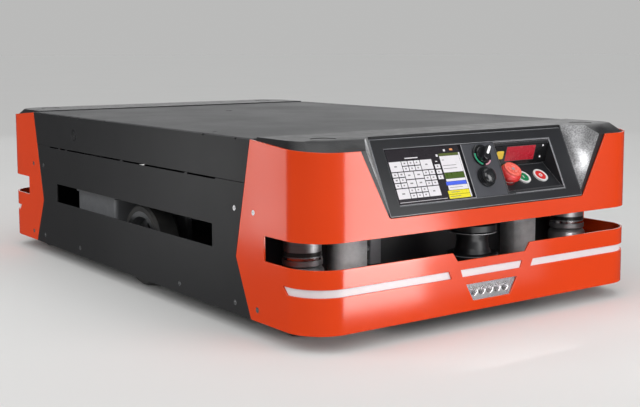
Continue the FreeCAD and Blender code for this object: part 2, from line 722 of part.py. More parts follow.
def make_lamp(name, turn):
    # Lamp body behind the skirt's lower opening, with five tapered reflector wells.
    body = new_body(name)
    front = "body_length / 2 - sheet_gauge - 0.1"
    face = [("-lamp_top_half - 3", "lamp_top_z + 3"), ("lamp_top_half + 3", "lamp_top_z + 3"),
            ("lamp_foot_half + 3", "lamp_foot_z - 3"), ("-lamp_foot_half - 3", "lamp_foot_z - 3")]
    pad(body, "front", "600", "%s - 600" % front, draw_polygon, (face,))
    seat = [("-lamp_top_half - 0.5", "lamp_top_z + 0.5"), ("lamp_top_half + 0.5", "lamp_top_z + 0.5"),
            ("lamp_foot_half + 0.5", "lamp_foot_z - 0.5"), ("-lamp_foot_half - 0.5", "lamp_foot_z - 0.5")]
    pocket(body, "front", front, "4", draw_polygon, (seat,))
    middle = "(lamp_top_z + lamp_foot_z) / 2"
    pocket(body, "front", "%s - 4" % front, "12", draw_circle,
           *[(str(18 * step), middle, "8.4") for step in range(-2, 3)], taper=-24)
    place(body, turn=turn)


def make_lamp_lens(name, turn):
    body = new_body(name)
    pad(body, "front", "body_length / 2 - sheet_gauge - 4", "2.4", draw_polygon,
        ([("-lamp_top_half - 0.2", "lamp_top_z + 0.2"), ("lamp_top_half + 0.2", "lamp_top_z + 0.2"),
          ("lamp_foot_half + 0.2", "lamp_foot_z - 0.2"), ("-lamp_foot_half - 0.2", "lamp_foot_z - 0.2")],))
    place(body, turn=turn)


def make_scanner(name, turn):
    # Safety laser scanner: a squarish base on a foot, a wide lower disc, the waisted window
    # that it looks through, and a cap.
    body = new_body(name)
    pad(body, "plan", "0", "52", draw_box, ("-46", "46", "-20", "66"))
    dress(body, "Fillet", "9", lambda edge: edge.BoundBox.ZLength > 50)
    spin(body, "side", [("0", "51"), ("38", "51"), ("39.5", "62.5"), ("44", "67"), ("44", "74"), ("42", "76"),
                        ("33", "76"), ("29", "84"), ("27", "98"), ("29", "111"), ("38", "112"), ("41", "115"),
                        ("41", "125"), ("36", "130"), ("0", "131")])
    side = -1 if turn == 0 else 1
    place(body, along="%d * scanner_y" % side, up="floor_low_z + floor_gauge", turn=turn)


# ---------------------------------------------------------------- chassis

def four_quarters(corners):
    # Closed outline from the corners in its first quarter, mirrored about both axes.
    outline = []
    for across, along, turned in (("%s", "%s", False), ("-(%s)", "%s", True),
                                  ("-(%s)", "-(%s)", False), ("%s", "-(%s)", True)):
        part = reversed(corners) if turned else corners
        outline += [(across % x, along % y) for x, y in part]
    return outline


def make_floor_plate():
    # Floor plate notched for the drive wheels, with a tongue at each end that carries the
    # scanner and reaches the skirt. Its corners are cut away where the castors swing.
    body = new_body("floor_plate")
    arch_x, arch_y = "castor_x - castor_sweep", "castor_y - castor_sweep - 1"
    wheel_bay = "drive_radius + 22"
    pad(body, "plan", "floor_low_z", "floor_gauge", draw_polygon, (four_quarters([
        ("wheel_bay_x", wheel_bay), ("frame_half", wheel_bay), ("frame_half", arch_y), (arch_x, arch_y),
        (arch_x, "floor_end_y"), ("tongue_half", "floor_end_y"), ("tongue_half", "tongue_y"),
        ("lamp_bay_half", "tongue_y"), ("lamp_bay_half", "lamp_bay_y")]),))


def make_rail(name, side):
    # Hollow square rail running the length of the floor.
    body = new_body(name)
    middle = "%d" % (75 * side)
    pad(body, "front", "-461.9", "2 * 461.9", draw_box, (middle + " - 25", middle + " + 25", "40", "100"))
    pocket(body, "front", "462", None, draw_box, (middle + " - 21", middle + " + 21", "44", "96"))


def make_end_member(name, turn):
    # Folded end frame: an upright wall, a shelf that the castor columns hang from, and a
    # cheek each side that the skirt and side panel are screwed to.
    body = new_body(name)
    wall_low, wall_high = "floor_low_z + floor_gauge", "shelf_top_z"
    pad(body, "plan", wall_low, "%s - (%s)" % (wall_high, wall_low), draw_polygon, ([
        ("-373", "-490"), ("-370", "-490"), ("-370", "-member_y - member_gauge"),
        ("370", "-member_y - member_gauge"), ("370", "-490"), ("373", "-490"), ("373", "-400"),
        ("370", "-400"), ("370", "-member_y"), ("-370", "-member_y"), ("-370", "-400"),
        ("-373", "-400")],))
    # The shelf is cut back between the columns to clear the console.
    reach = "castor_y + column_radius + 6"
    pad(body, "plan", "shelf_top_z - shelf_gauge", "shelf_gauge", draw_polygon, ([
        ("-348", "-member_y - 1"), ("348", "-member_y - 1"), ("348", "-(%s) + 14" % reach),
        ("334", "-(%s)" % reach), ("272", "-(%s)" % reach), ("246", "-(%s) + 30" % reach),
        ("-246", "-(%s) + 30" % reach), ("-272", "-(%s)" % reach), ("-334", "-(%s)" % reach),
        ("-348", "-(%s) + 14" % reach)],))
    # Two folded posts brace the shelf against the wall, beside the columns.
    near, far = "-member_y - 1", "-post_front_y"
    posts = [[(sign + "post_inner_x", near), (sign + "post_inner_x", far), (sign + "post_outer_x", far),
              (sign + "post_outer_x", near), (sign + "(post_outer_x - sheet_gauge)", near),
              (sign + "(post_outer_x - sheet_gauge)", far + " + sheet_gauge"),
              (sign + "(post_inner_x + sheet_gauge)", far + " + sheet_gauge"),
              (sign + "(post_inner_x + sheet_gauge)", near)]
             for sign in ("", "-")]
    pad(body, "plan", "post_low_z", "shelf_top_z - 1 - post_low_z", draw_polygon, *[(post,) for post in posts])
    holes = wing_screws() + [(y, z) for y, z in panel_screws() if y == "-411"]
    pocket(body, "side", "body_width", None, draw_circle, *[(y, z, "3.1") for y, z in holes])
    # Windows in the upright wall for the wiring, and arches that the castors swing through.
    arch = ("castor_x - castor_sweep", "370", "floor_low_z", "2 * castor_radius + 10")
    pocket(body, "front", "body_length", None, draw_box,
           ("-165", "-60", "150", "215"), ("60", "165", "150", "215"),
           arch, ("-370", "-(castor_x - castor_sweep)") + arch[2:])
    place(body, turn=turn)


def make_column(name, across, along, turn):
    # Castor column under the shelf: a turned tube with a seal groove, and a gusset to the wall behind it.
    body = new_body(name)
    low = "column_low_z"
    top = "shelf_top_z - shelf_gauge"
    bore = "stem_radius + running_gap"
    spin(body, "side", [(bore, low), ("column_radius - 3", low), ("column_radius + 2", "column_low_z + 3"),
                        ("column_radius + 2", "column_low_z + 11"), ("column_radius", "column_low_z + 13"),
                        ("column_radius", top), ("10", top), ("10", "column_low_z + 62"),
                        (bore, "column_low_z + 62")])
    near, far = "stem_radius + 4", "castor_y - member_y - member_gauge"
    pad(body, "side", "-2.5", "5", draw_polygon, (
        [(near, "column_low_z + 24"), (far, "column_low_z + 72"), (far, top), (near, top)],))
    place(body, across=across, along=along, turn=turn)


def make_fork(name, across, along):
    # Swivel fork: stem, crown disc, and two legs that carry the axle behind the swivel axis.
    body = new_body(name)
    axle = "castor_radius"
    crown_low, crown_top = "column_low_z - 26", "column_low_z - free_gap"
    spin(body, "side", [("0", crown_low), ("30", crown_low), ("35", "column_low_z - 20"),
                        ("35", "column_low_z - 6"), ("31", crown_top),
                        ("stem_radius", crown_top), ("stem_radius", "column_low_z + 58"),
                        ("0", "column_low_z + 58")])
    leg = [("-20", "column_low_z - 25"), ("30", "column_low_z - 25"), ("castor_trail + 13", axle),
           ("castor_trail + 8", "castor_radius - 12"),
           ("castor_trail - 8", "castor_radius - 12"), ("castor_trail - 13", axle)]
    inner = "castor_width / 2 + 2"
    for start in (inner, "-(%s) - 5" % inner):
        pad(body, "side", start, "5", draw_polygon, (leg,))
    pad(body, "side", "-(%s) - 8" % inner, "2 * (%s) + 16" % inner, draw_circle, ("castor_trail", axle, "5"))
    place(body, across=across, along=along)


def make_castor_wheel(name, across, along):
    body = new_body(name)
    half = "castor_width / 2"
    bore = "5 + running_gap"
    spin(body, "front", [(bore, "-" + half), ("11", "-" + half), ("13", "-%s + 3" % half),
                         ("26", "-%s + 4" % half), ("28", "-" + half),
                         ("castor_radius - 3", "-" + half), ("castor_radius", "-%s + 4" % half),
                         ("castor_radius", "%s - 4" % half), ("castor_radius - 3", half), ("28", half),
                         ("26", "%s - 4" % half), ("13", "%s - 3" % half), ("11", half), (bore, half)])
    body.Placement = Placement(Vector(size(across), size(along) + size("castor_trail"), size("castor_radius")),
                               Rotation(Vector(0, 1, 0), 90))
    body.setExpression("Placement.Base.x", bound(across))
    body.setExpression("Placement.Base.y", bound(along + " + castor_trail"))
    body.setExpression("Placement.Base.z", bound("castor_radius"))


# ---------------------------------------------------------------- drive, batteries, lift

def axle_body(name, turn):
    # A body drawn with Z along the wheel axle, outwards from the middle of the robot.
    body = new_body(name)
    side = 1 if turn == 0 else -1
    body.Placement = Placement(Vector(0, 0, size("drive_radius")), Rotation(Vector(0, 1, 0), 90 * side))
    body.setExpression("Placement.Base.z", bound("drive_radius"))
    return body


def make_drive_unit(name, turn):
    # Motor, brake and gearbox in line, on an upright bracket bolted to the floor plate.
    body = axle_body(name, turn)
    bore = "axle_radius + running_gap"
    spin(body, "front", [("0", "108"), ("30", "108"), ("34", "112"), ("34", "150"), ("36", "150"),
                         ("36", "156"), ("34", "156"), ("34", "205"), ("37", "205"), ("37", "262"), ("39.5", "262"),
                         ("39.5", "280"), (bore, "280"), (bore, "232"), ("0", "232")])
    foot = "drive_radius - floor_low_z - floor_gauge"
    sketch_up = "-" if turn == 0 else ""
    corners = [(sketch_up + "-(%s)" % foot, "-72"), (sketch_up + "-(%s)" % foot, "72"),
               (sketch_up + "60", "72"), (sketch_up + "96", "40"), (sketch_up + "96", "-40"),
               (sketch_up + "60", "-72")]
    sketch = new_sketch(body, "plan", "268")
    draw_polygon(sketch, [(a.replace("--", ""), b) for a, b in corners])
    draw_circle(sketch, "0", "0", "30")
    feature(body, "Pad", sketch, "10")


def make_hub(name, turn):
    body = axle_body(name, turn)
    inner, outer = "drive_x - drive_width / 2", "drive_x + drive_width / 2"
    spin(body, "front", [("0", "236"), ("axle_radius", "236"), ("axle_radius", inner + " - 6"),
                         ("24", inner + " - 6"), ("24", "drive_x - 6"), ("52", "drive_x - 5"), ("56", inner),
                         ("hub_radius", inner), ("hub_radius", outer), ("56", outer), ("52", "drive_x + 5"),
                         ("26", "drive_x + 6"), ("24", outer + " - 4"), ("0", outer + " - 4")])
    hole = pocket(body, "plan", "drive_x + 20", None, draw_circle, ("38", "0", "6.5"))
    polar(body, hole, hole.Profile[0], 6)


def make_tyre(name, turn):
    body = axle_body(name, turn)
    inner, outer = "drive_x - drive_width / 2", "drive_x + drive_width / 2"
    spin(body, "front", [("hub_radius", inner), ("drive_radius - 4", inner), ("drive_radius", inner + " + 5"),
                         ("drive_radius", outer + " - 5"), ("drive_radius - 4", outer), ("hub_radius", outer)])


def make_battery(name, turn):
    # Battery case with a lid line and a recessed grip at each end.
    body = new_body(name)
    pad(body, "plan", "floor_low_z + floor_gauge", "150", draw_box, ("-346", "-190", "106", "292"))
    dress(body, "Fillet", "8", lambda edge: edge.BoundBox.ZLength > 100)
    pad(body, "plan", "floor_low_z + floor_gauge + 118", "4", draw_box, ("-348", "-188", "104", "294"))
    pocket(body, "plan", "floor_low_z + floor_gauge + 151", "20", draw_box,
           ("-300", "-236", "118", "138"), ("-300", "-236", "260", "280"))
    place(body, turn=turn)


def lift_places():
    return [(a + "lift_x", b + "lift_y") for a in ("-", "") for b in ("-", "")]


def make_lift_tubes():
    # Four lifting columns on the floor plate, with a flanged foot and a gaiter collar.
    body = new_body("lift_tubes")
    low, top = "floor_low_z + floor_gauge", "shelf_top_z"
    places = lift_places()
    pad(body, "plan", low, "%s - (%s)" % (top, low), draw_circle,
        *[(x, y, radius) for x, y in places for radius in ("tube_radius", "rod_radius + running_gap")])
    pad(body, "plan", low, "8", draw_circle,
        *[(x, y, radius) for x, y in places for radius in ("tube_radius + 14", "tube_radius - 2")])
    pad(body, "plan", top + " - 14", "14", draw_circle,
        *[(x, y, radius) for x, y in places for radius in ("tube_radius + 5", "tube_radius - 2")])


def make_lift_rods():
    body = new_body("lift_rods")
    top = "deck_top_z - deck_gauge"
    pad(body, "plan", "90", "%s - 90" % top, draw_circle, *[(x, y, "rod_radius") for x, y in lift_places()])
    pad(body, "plan", top + " - 7", "7", draw_circle, *[(x, y, "rod_radius + 12") for x, y in lift_places()])


# ---------------------------------------------------------------- small groups

def make_screws():
    # Countersunk screws: one turned screw with a socket, repeated on both sides and at both ends.
    head, shank, long = size("screw_head"), size("screw_shank"), size("screw_length")
    outline = Part.makePolygon([Vector(0, 0, 0), Vector(head, 0, 0), Vector(head, 0, -0.6),
                                Vector(shank, 0, -3), Vector(shank, 0, -long), Vector(0, 0, -long),
                                Vector(0, 0, 0)])
    screw = Part.Face(outline).revolve(Vector(0, 0, 0), Vector(0, 0, 1), 360)
    screw = screw.cut(Part.makeCylinder(1.6, 1.7, Vector(0, 0, -1.6)))
    places = [(size(y), size(z)) for y, z in panel_screws()]
    for y, z in wing_screws():
        places += [(size(y), size(z)), (-size(y), size(z))]
    solids = []
    for y, z in places:
        for side in SIDES.values():
            copy = screw.copy()
            copy.Placement = Placement(Vector(side * size("body_width / 2"), y, z),
                                       Rotation(Vector(0, 1, 0), 90 * side))
            solids.append(copy)
    group = doc.addObject("Part::Feature", "cover_screws")
    group.Label = "cover_screws"
    group.Shape = Part.makeCompound(solids)


def make_cover_plugs():
    # Flat round plugs in the seats on top of the end covers.
    body = new_body("cover_plugs")
    places = [(a + "seat_x", b + "seat_y") for a in ("", "-") for b in ("", "-")]
    pad(body, "plan", "cover_top_z - 2.5", "1.7", draw_circle,
        *[(x, y, "seat_radius - 0.4") for x, y in places])


# ---------------------------------------------------------------- assembly

make_skirt("front_skirt", 0, True)
make_skirt("rear_skirt", 180, False)
make_cover("front_cover", 0, True)
make_cover("rear_cover", 180, False)
for side, turn in (("right", 0), ("left", 180)):
    make_side_panel("side_panel_" + side, turn)
    make_side_strip("deck_strip_" + side, turn)
    make_side_plug("strip_plug_" + side, turn)
    make_drive_unit("drive_unit_" + side, turn)
    make_hub("drive_hub_" + side, turn)
    make_tyre("drive_tyre_" + side, turn)
    make_rail("floor_rail_" + side, SIDES[side])
make_battery("battery_left", 0)
make_battery("battery_right", 180)
for end, turn in ENDS.items():
    make_light_bars("light_bars_" + end, turn)
    make_lamp("lamp_" + end, turn)
    make_lamp_lens("lamp_lens_" + end, turn)
    make_scanner("scanner_" + end, turn)
    make_end_member("end_member_" + end, turn)
    for side, sign in SIDES.items():
        across = "%d * castor_x" % sign
        along = "%d * castor_y" % (-1 if end == "front" else 1)
        place_name = "%s_%s" % (end, side)
        make_column("castor_column_" + place_name, across, along, turn)
        make_fork("castor_fork_" + place_name, across, along)
        make_castor_wheel("castor_wheel_" + place_name, across, along)
make_floor_plate()
make_deck()
make_lift_tubes()
make_lift_rods()
make_bezel()
make_display()
make_control_plate()
make_recess()
make_gauge()
make_collars()
make_mushroom()
make_button("start_button", "green_x")
make_button("stop_button", "red_x")
make_selector()
make_dome()
make_screws()
make_cover_plugs()

doc.recompute()
faulty = [item.Label for item in doc.Objects if "Invalid" in item.State or "Error" in item.State]
if faulty:
    raise RuntimeError("not computed: " + ", ".join(faulty))

os.makedirs("parts", exist_ok=True)
nodes = [item for item in doc.Objects
         if item.TypeId == "PartDesign::Body" or item.TypeId == "Part::Feature"]
for node in nodes:
    if node.Shape.isNull() or not node.Shape.isValid():
        raise RuntimeError("bad shape: " + node.Label)
    node.Shape.exportStep("parts/%s.step" % node.Label)
print(len(nodes), "parts written")
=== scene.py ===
import json
import math
import random

import bmesh
import bpy
from mathutils import Matrix, Vector


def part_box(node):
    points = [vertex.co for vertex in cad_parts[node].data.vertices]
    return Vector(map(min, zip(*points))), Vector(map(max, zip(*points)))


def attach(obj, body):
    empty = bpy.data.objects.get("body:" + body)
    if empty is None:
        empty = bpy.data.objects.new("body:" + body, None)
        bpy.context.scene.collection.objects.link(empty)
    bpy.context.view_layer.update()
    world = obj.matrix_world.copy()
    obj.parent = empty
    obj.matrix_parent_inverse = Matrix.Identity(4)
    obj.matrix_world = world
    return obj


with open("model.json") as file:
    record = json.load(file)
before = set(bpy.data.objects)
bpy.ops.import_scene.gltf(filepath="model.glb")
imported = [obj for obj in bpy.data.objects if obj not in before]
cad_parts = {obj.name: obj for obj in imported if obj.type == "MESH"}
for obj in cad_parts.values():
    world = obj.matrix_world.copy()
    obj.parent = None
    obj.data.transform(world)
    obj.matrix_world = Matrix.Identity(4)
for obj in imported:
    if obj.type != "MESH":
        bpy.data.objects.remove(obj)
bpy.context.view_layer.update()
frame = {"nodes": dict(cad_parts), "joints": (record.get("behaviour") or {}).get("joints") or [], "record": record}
nodes = frame["nodes"]
joints = {joint["name"]: joint for joint in frame["joints"]}
random.seed(7)  # the keypad's marks vary a little in width


def startMaterial(name):
    material = bpy.data.materials.new(name)
    material.use_nodes = True
    tree = material.node_tree
    return material, tree, tree.nodes["Principled BSDF"]


def link(tree, source, target):
    tree.links.new(source, target)


def objectSpace(tree, scale=(1, 1, 1)):
    coordinates = tree.nodes.new("ShaderNodeTexCoord")
    mapping = tree.nodes.new("ShaderNodeMapping")
    mapping.inputs["Scale"].default_value = scale
    link(tree, coordinates.outputs["Object"], mapping.inputs["Vector"])
    return mapping.outputs["Vector"]


def noiseNode(tree, space, scale, detail=4, roughness=0.55):
    noise = tree.nodes.new("ShaderNodeTexNoise")
    noise.inputs["Scale"].default_value = scale
    noise.inputs["Detail"].default_value = detail
    noise.inputs["Roughness"].default_value = roughness
    link(tree, space, noise.inputs["Vector"])
    return noise.outputs["Fac"]


def spread(tree, value, low, high, fromLow=0.3, fromHigh=0.7):
    # stretches a 0..1 value to low..high
    scale = tree.nodes.new("ShaderNodeMapRange")
    scale.inputs["From Min"].default_value = fromLow
    scale.inputs["From Max"].default_value = fromHigh
    scale.inputs["To Min"].default_value = low
    scale.inputs["To Max"].default_value = high
    link(tree, value, scale.inputs["Value"])
    return scale.outputs["Result"]


def mixColours(tree, amount, first, second):
    mix = tree.nodes.new("ShaderNodeMix")
    mix.data_type = "RGBA"
    link(tree, amount, mix.inputs["Factor"])
    for value, socket in ((first, "A"), (second, "B")):
        target = next(item for item in mix.inputs if item.name == socket and item.type == "RGBA")
        if isinstance(value, tuple):
            target.default_value = (*value, 1)
        else:
            link(tree, value, target)
    return next(item for item in mix.outputs if item.type == "RGBA")


def edgeMask(tree, radius):
    # 0 on flat faces, towards 1 within radius of an edge
    bevel = tree.nodes.new("ShaderNodeBevel")
    bevel.samples = 4
    bevel.inputs["Radius"].default_value = radius
    geometry = tree.nodes.new("ShaderNodeNewGeometry")
    dot = tree.nodes.new("ShaderNodeVectorMath")
    dot.operation = "DOT_PRODUCT"
    link(tree, bevel.outputs["Normal"], dot.inputs[0])
    link(tree, geometry.outputs["Normal"], dot.inputs[1])
    mask = spread(tree, dot.outputs["Value"], 1, 0, fromLow=0.72, fromHigh=0.995)
    return mask, bevel.outputs["Normal"]


def paintedEdgeHighlight(tree, colour, look):
    # the colour with a painted highlight along the edges, and the normal that rounds them
    edge, rounded = edgeMask(tree, look["edgeRadius"])
    highlightStrength = tree.nodes.new("ShaderNodeMath")
    highlightStrength.operation = "MULTIPLY"
    highlightStrength.inputs[1].default_value = look["edgeHighlightAmount"]
    link(tree, edge, highlightStrength.inputs[0])
    return mixColours(tree, highlightStrength.outputs["Value"], colour, look["edgeHighlightColour"]), rounded


def bumpNode(tree, height, strength, distance, normal=None):
    bump = tree.nodes.new("ShaderNodeBump")
    bump.inputs["Strength"].default_value = strength
    bump.inputs["Distance"].default_value = distance
    link(tree, height, bump.inputs["Height"])
    if normal is not None:
        link(tree, normal, bump.inputs["Normal"])
    return bump.outputs["Normal"]


def coatedMetal(name, look):
    # powder coat: soft colour drift, fine orange peel, a painted highlight along the edges
    material, tree, shader = startMaterial(name)
    space = objectSpace(tree)
    drift = noiseNode(tree, space, look["driftScale"], detail=3)
    colour = mixColours(tree, spread(tree, drift, 0, 1), look["colour"], look["shade"])
    colour, rounded = paintedEdgeHighlight(tree, colour, look)
    link(tree, colour, shader.inputs["Base Color"])
    smudge = noiseNode(tree, space, look["smudgeScale"], detail=5, roughness=0.6)
    link(tree, spread(tree, smudge, look["roughLow"], look["roughHigh"]), shader.inputs["Roughness"])
    peel = noiseNode(tree, space, look["peelScale"], detail=2, roughness=0.4)
    link(tree, bumpNode(tree, peel, look["peel"], look["peelDepth"], rounded), shader.inputs["Normal"])
    shader.inputs["Specular IOR Level"].default_value = look["specular"]
    return material


# each look's edge colour is a painted highlight laid along its edges
orangeLook = {"colour": (0.79, 0.055, 0.002), "shade": (0.75, 0.050, 0.002), "driftScale": 3.0,
              "edgeHighlightColour": (1.0, 0.28, 0.13), "edgeHighlightAmount": 0.45, "edgeRadius": 0.0012,
              "smudgeScale": 9.0, "roughLow": 0.16, "roughHigh": 0.21,
              "peelScale": 900.0, "peel": 0.10, "peelDepth": 0.0004, "specular": 0.62}
graphiteLook = {"colour": (0.023, 0.0232, 0.0245), "shade": (0.019, 0.0192, 0.0202), "driftScale": 2.2,
                "edgeHighlightColour": (0.16, 0.16, 0.17), "edgeHighlightAmount": 0.5, "edgeRadius": 0.0010,
                "smudgeScale": 7.0, "roughLow": 0.44, "roughHigh": 0.53,
                "peelScale": 1400.0, "peel": 0.30, "peelDepth": 0.0004, "specular": 0.5}
deckLook = {"colour": (0.055, 0.056, 0.058), "shade": (0.047, 0.048, 0.050), "driftScale": 1.6,
            "edgeHighlightColour": (0.24, 0.24, 0.25), "edgeHighlightAmount": 0.5, "edgeRadius": 0.0012,
            "smudgeScale": 5.0, "roughLow": 0.46, "roughHigh": 0.58,
            "peelScale": 1100.0, "peel": 0.35, "peelDepth": 0.0005, "specular": 0.5}
frameLook = {"colour": (0.012, 0.012, 0.013), "shade": (0.010, 0.010, 0.011), "driftScale": 5.0,
             "edgeHighlightColour": (0.10, 0.10, 0.105), "edgeHighlightAmount": 0.4, "edgeRadius": 0.0012,
             "smudgeScale": 20.0, "roughLow": 0.35, "roughHigh": 0.5,
             "peelScale": 700.0, "peel": 0.15, "peelDepth": 0.0004, "specular": 0.5}
plateLook = {"colour": (0.050, 0.052, 0.062), "shade": (0.045, 0.047, 0.056), "driftScale": 12.0,
             "edgeHighlightColour": (0.3, 0.31, 0.33), "edgeHighlightAmount": 0.5, "edgeRadius": 0.0006,
             "smudgeScale": 25.0, "roughLow": 0.40, "roughHigh": 0.50,
             "peelScale": 1500.0, "peel": 0.2, "peelDepth": 0.0003, "specular": 0.5}


def grainedPlastic(name, look):
    # moulded housing with a leather-like grain
    material, tree, shader = startMaterial(name)
    space = objectSpace(tree)
    drift = noiseNode(tree, space, scale=6, detail=3)
    colour = mixColours(tree, spread(tree, drift, 0, 1), look["colour"], look["shade"])
    # a painted highlight along the edges
    colour, rounded = paintedEdgeHighlight(tree, colour, look)
    link(tree, colour, shader.inputs["Base Color"])
    grain = tree.nodes.new("ShaderNodeTexVoronoi")
    grain.inputs["Scale"].default_value = look["grainScale"]
    grain.feature = "SMOOTH_F1"
    link(tree, space, grain.inputs["Vector"])
    rough = noiseNode(tree, space, scale=40)
    link(tree, spread(tree, rough, look["roughLow"], look["roughHigh"]), shader.inputs["Roughness"])
    bump = bumpNode(tree, grain.outputs["Distance"], look["grain"], look["grainDepth"], rounded)
    link(tree, bump, shader.inputs["Normal"])
    shader.inputs["Specular IOR Level"].default_value = look["specular"]
    return material


coverLook = {"colour": (0.022, 0.0225, 0.024), "shade": (0.018, 0.0185, 0.020), "grainScale": 520.0,
             "grain": 0.55, "grainDepth": 0.0006, "roughLow": 0.34, "roughHigh": 0.44,
             "edgeRadius": 0.0016, "edgeHighlightColour": (0.07, 0.07, 0.075), "edgeHighlightAmount": 0.6,
             "specular": 0.45}
# the cheeks' pale colours are painted sheen on the black grained housing
cheekSheenLook = {"colour": (0.62, 0.62, 0.63), "shade": (0.30, 0.30, 0.31), "speckScale": 420.0,
             "grain": 0.50, "grainDepth": 0.0005, "rough": 0.44, "specular": 0.6, "metallic": 0.85}
bezelLook = {"colour": (0.014, 0.0148, 0.0175), "shade": (0.012, 0.0125, 0.0145), "grainScale": 1300.0,
             "grain": 0.25, "grainDepth": 0.0003, "roughLow": 0.36, "roughHigh": 0.44,
             "edgeRadius": 0.0012, "edgeHighlightColour": (0.42, 0.43, 0.45), "edgeHighlightAmount": 0.8,
             "specular": 0.5}


def paintedSheenPlastic(name, look):
    # painted sheen: the coarse grain of the black housing where it catches the light, drawn as pale metallic
    # flecks on grey
    material, tree, shader = startMaterial(name)
    fleck = noiseNode(tree, objectSpace(tree), look["speckScale"], detail=3, roughness=0.6)
    pale = spread(tree, fleck, 0, 1, fromLow=0.38, fromHigh=0.62)
    link(tree, mixColours(tree, pale, look["shade"], look["colour"]), shader.inputs["Base Color"])
    rough = spread(tree, fleck, look["rough"] * 0.8, look["rough"] * 1.3)
    link(tree, rough, shader.inputs["Roughness"])
    link(tree, bumpNode(tree, fleck, look["grain"], look["grainDepth"]), shader.inputs["Normal"])
    shader.inputs["Specular IOR Level"].default_value = look["specular"]
    shader.inputs["Metallic"].default_value = look["metallic"]
    return material


def plainGloss(name, colour, roughness=0.25, specular=0.5, wear=0.12, metallic=0.0):
    # smooth moulded or painted small part with faint handling marks
    material, tree, shader = startMaterial(name)
    space = objectSpace(tree)
    drift = noiseNode(tree, space, scale=60, detail=3)
    darker = tuple(part * (1 - wear) for part in colour)
    link(tree, mixColours(tree, spread(tree, drift, 0, 1), colour, darker), shader.inputs["Base Color"])
    smudge = noiseNode(tree, space, scale=140)
    link(tree, spread(tree, smudge, roughness * 0.85, roughness * 1.2), shader.inputs["Roughness"])
    fine = noiseNode(tree, space, scale=2500, detail=2)
    link(tree, bumpNode(tree, fine, strength=0.05, distance=0.0002), shader.inputs["Normal"])
    shader.inputs["Specular IOR Level"].default_value = specular
    shader.inputs["Metallic"].default_value = metallic
    return material


def turnedMetal(name, colour, roughness, ringScale, squeeze=(1, 1, 60)):
    # machined metal: fine rings, stretched noise in roughness and bump
    material, tree, shader = startMaterial(name)
    space = objectSpace(tree, squeeze)
    rings = noiseNode(tree, space, ringScale, roughness=0.7)
    darker = tuple(part * 0.82 for part in colour)
    link(tree, mixColours(tree, spread(tree, rings, 0, 1), colour, darker), shader.inputs["Base Color"])
    link(tree, spread(tree, rings, roughness * 0.8, roughness * 1.3), shader.inputs["Roughness"])
    link(tree, bumpNode(tree, rings, strength=0.18, distance=0.0003), shader.inputs["Normal"])
    shader.inputs["Metallic"].default_value = 1.0
    return material


tyreLook = {"colour": (0.035, 0.035, 0.036), "dust": (0.07, 0.068, 0.065), "roughLow": 0.55,
            "roughHigh": 0.75}


def tyreRubber(name):
    # black rubber with some floor dust
    material, tree, shader = startMaterial(name)
    space = objectSpace(tree)
    dust = noiseNode(tree, space, scale=30, detail=5)
    link(tree, mixColours(tree, spread(tree, dust, 0, 1), tyreLook["colour"], tyreLook["dust"]),
         shader.inputs["Base Color"])
    fine = noiseNode(tree, space, scale=600, detail=3)
    rough = spread(tree, fine, tyreLook["roughLow"], tyreLook["roughHigh"])
    link(tree, rough, shader.inputs["Roughness"])
    link(tree, bumpNode(tree, fine, strength=0.3, distance=0.0005), shader.inputs["Normal"])
    return material


def glowing(name, colour, strength, roughness=0.35):
    # a smooth face that also gives off some light of its colour
    material = plainGloss(name, colour, roughness, wear=0.03)
    shader = material.node_tree.nodes["Principled BSDF"]
    shader.inputs["Emission Color"].default_value = (*colour, 1)
    shader.inputs["Emission Strength"].default_value = strength
    return material


def clearLens(name, roughness):
    # clear moulding with a faint ripple
    material, tree, shader = startMaterial(name)
    ripple = noiseNode(tree, objectSpace(tree), scale=260, detail=2)
    link(tree, bumpNode(tree, ripple, strength=0.15, distance=0.0004), shader.inputs["Normal"])
    link(tree, spread(tree, ripple, roughness * 0.7, roughness * 1.5), shader.inputs["Roughness"])
    shader.inputs["Base Color"].default_value = (1, 1, 1, 1)
    shader.inputs["Transmission Weight"].default_value = 1.0
    shader.inputs["IOR"].default_value = 1.46
    return material


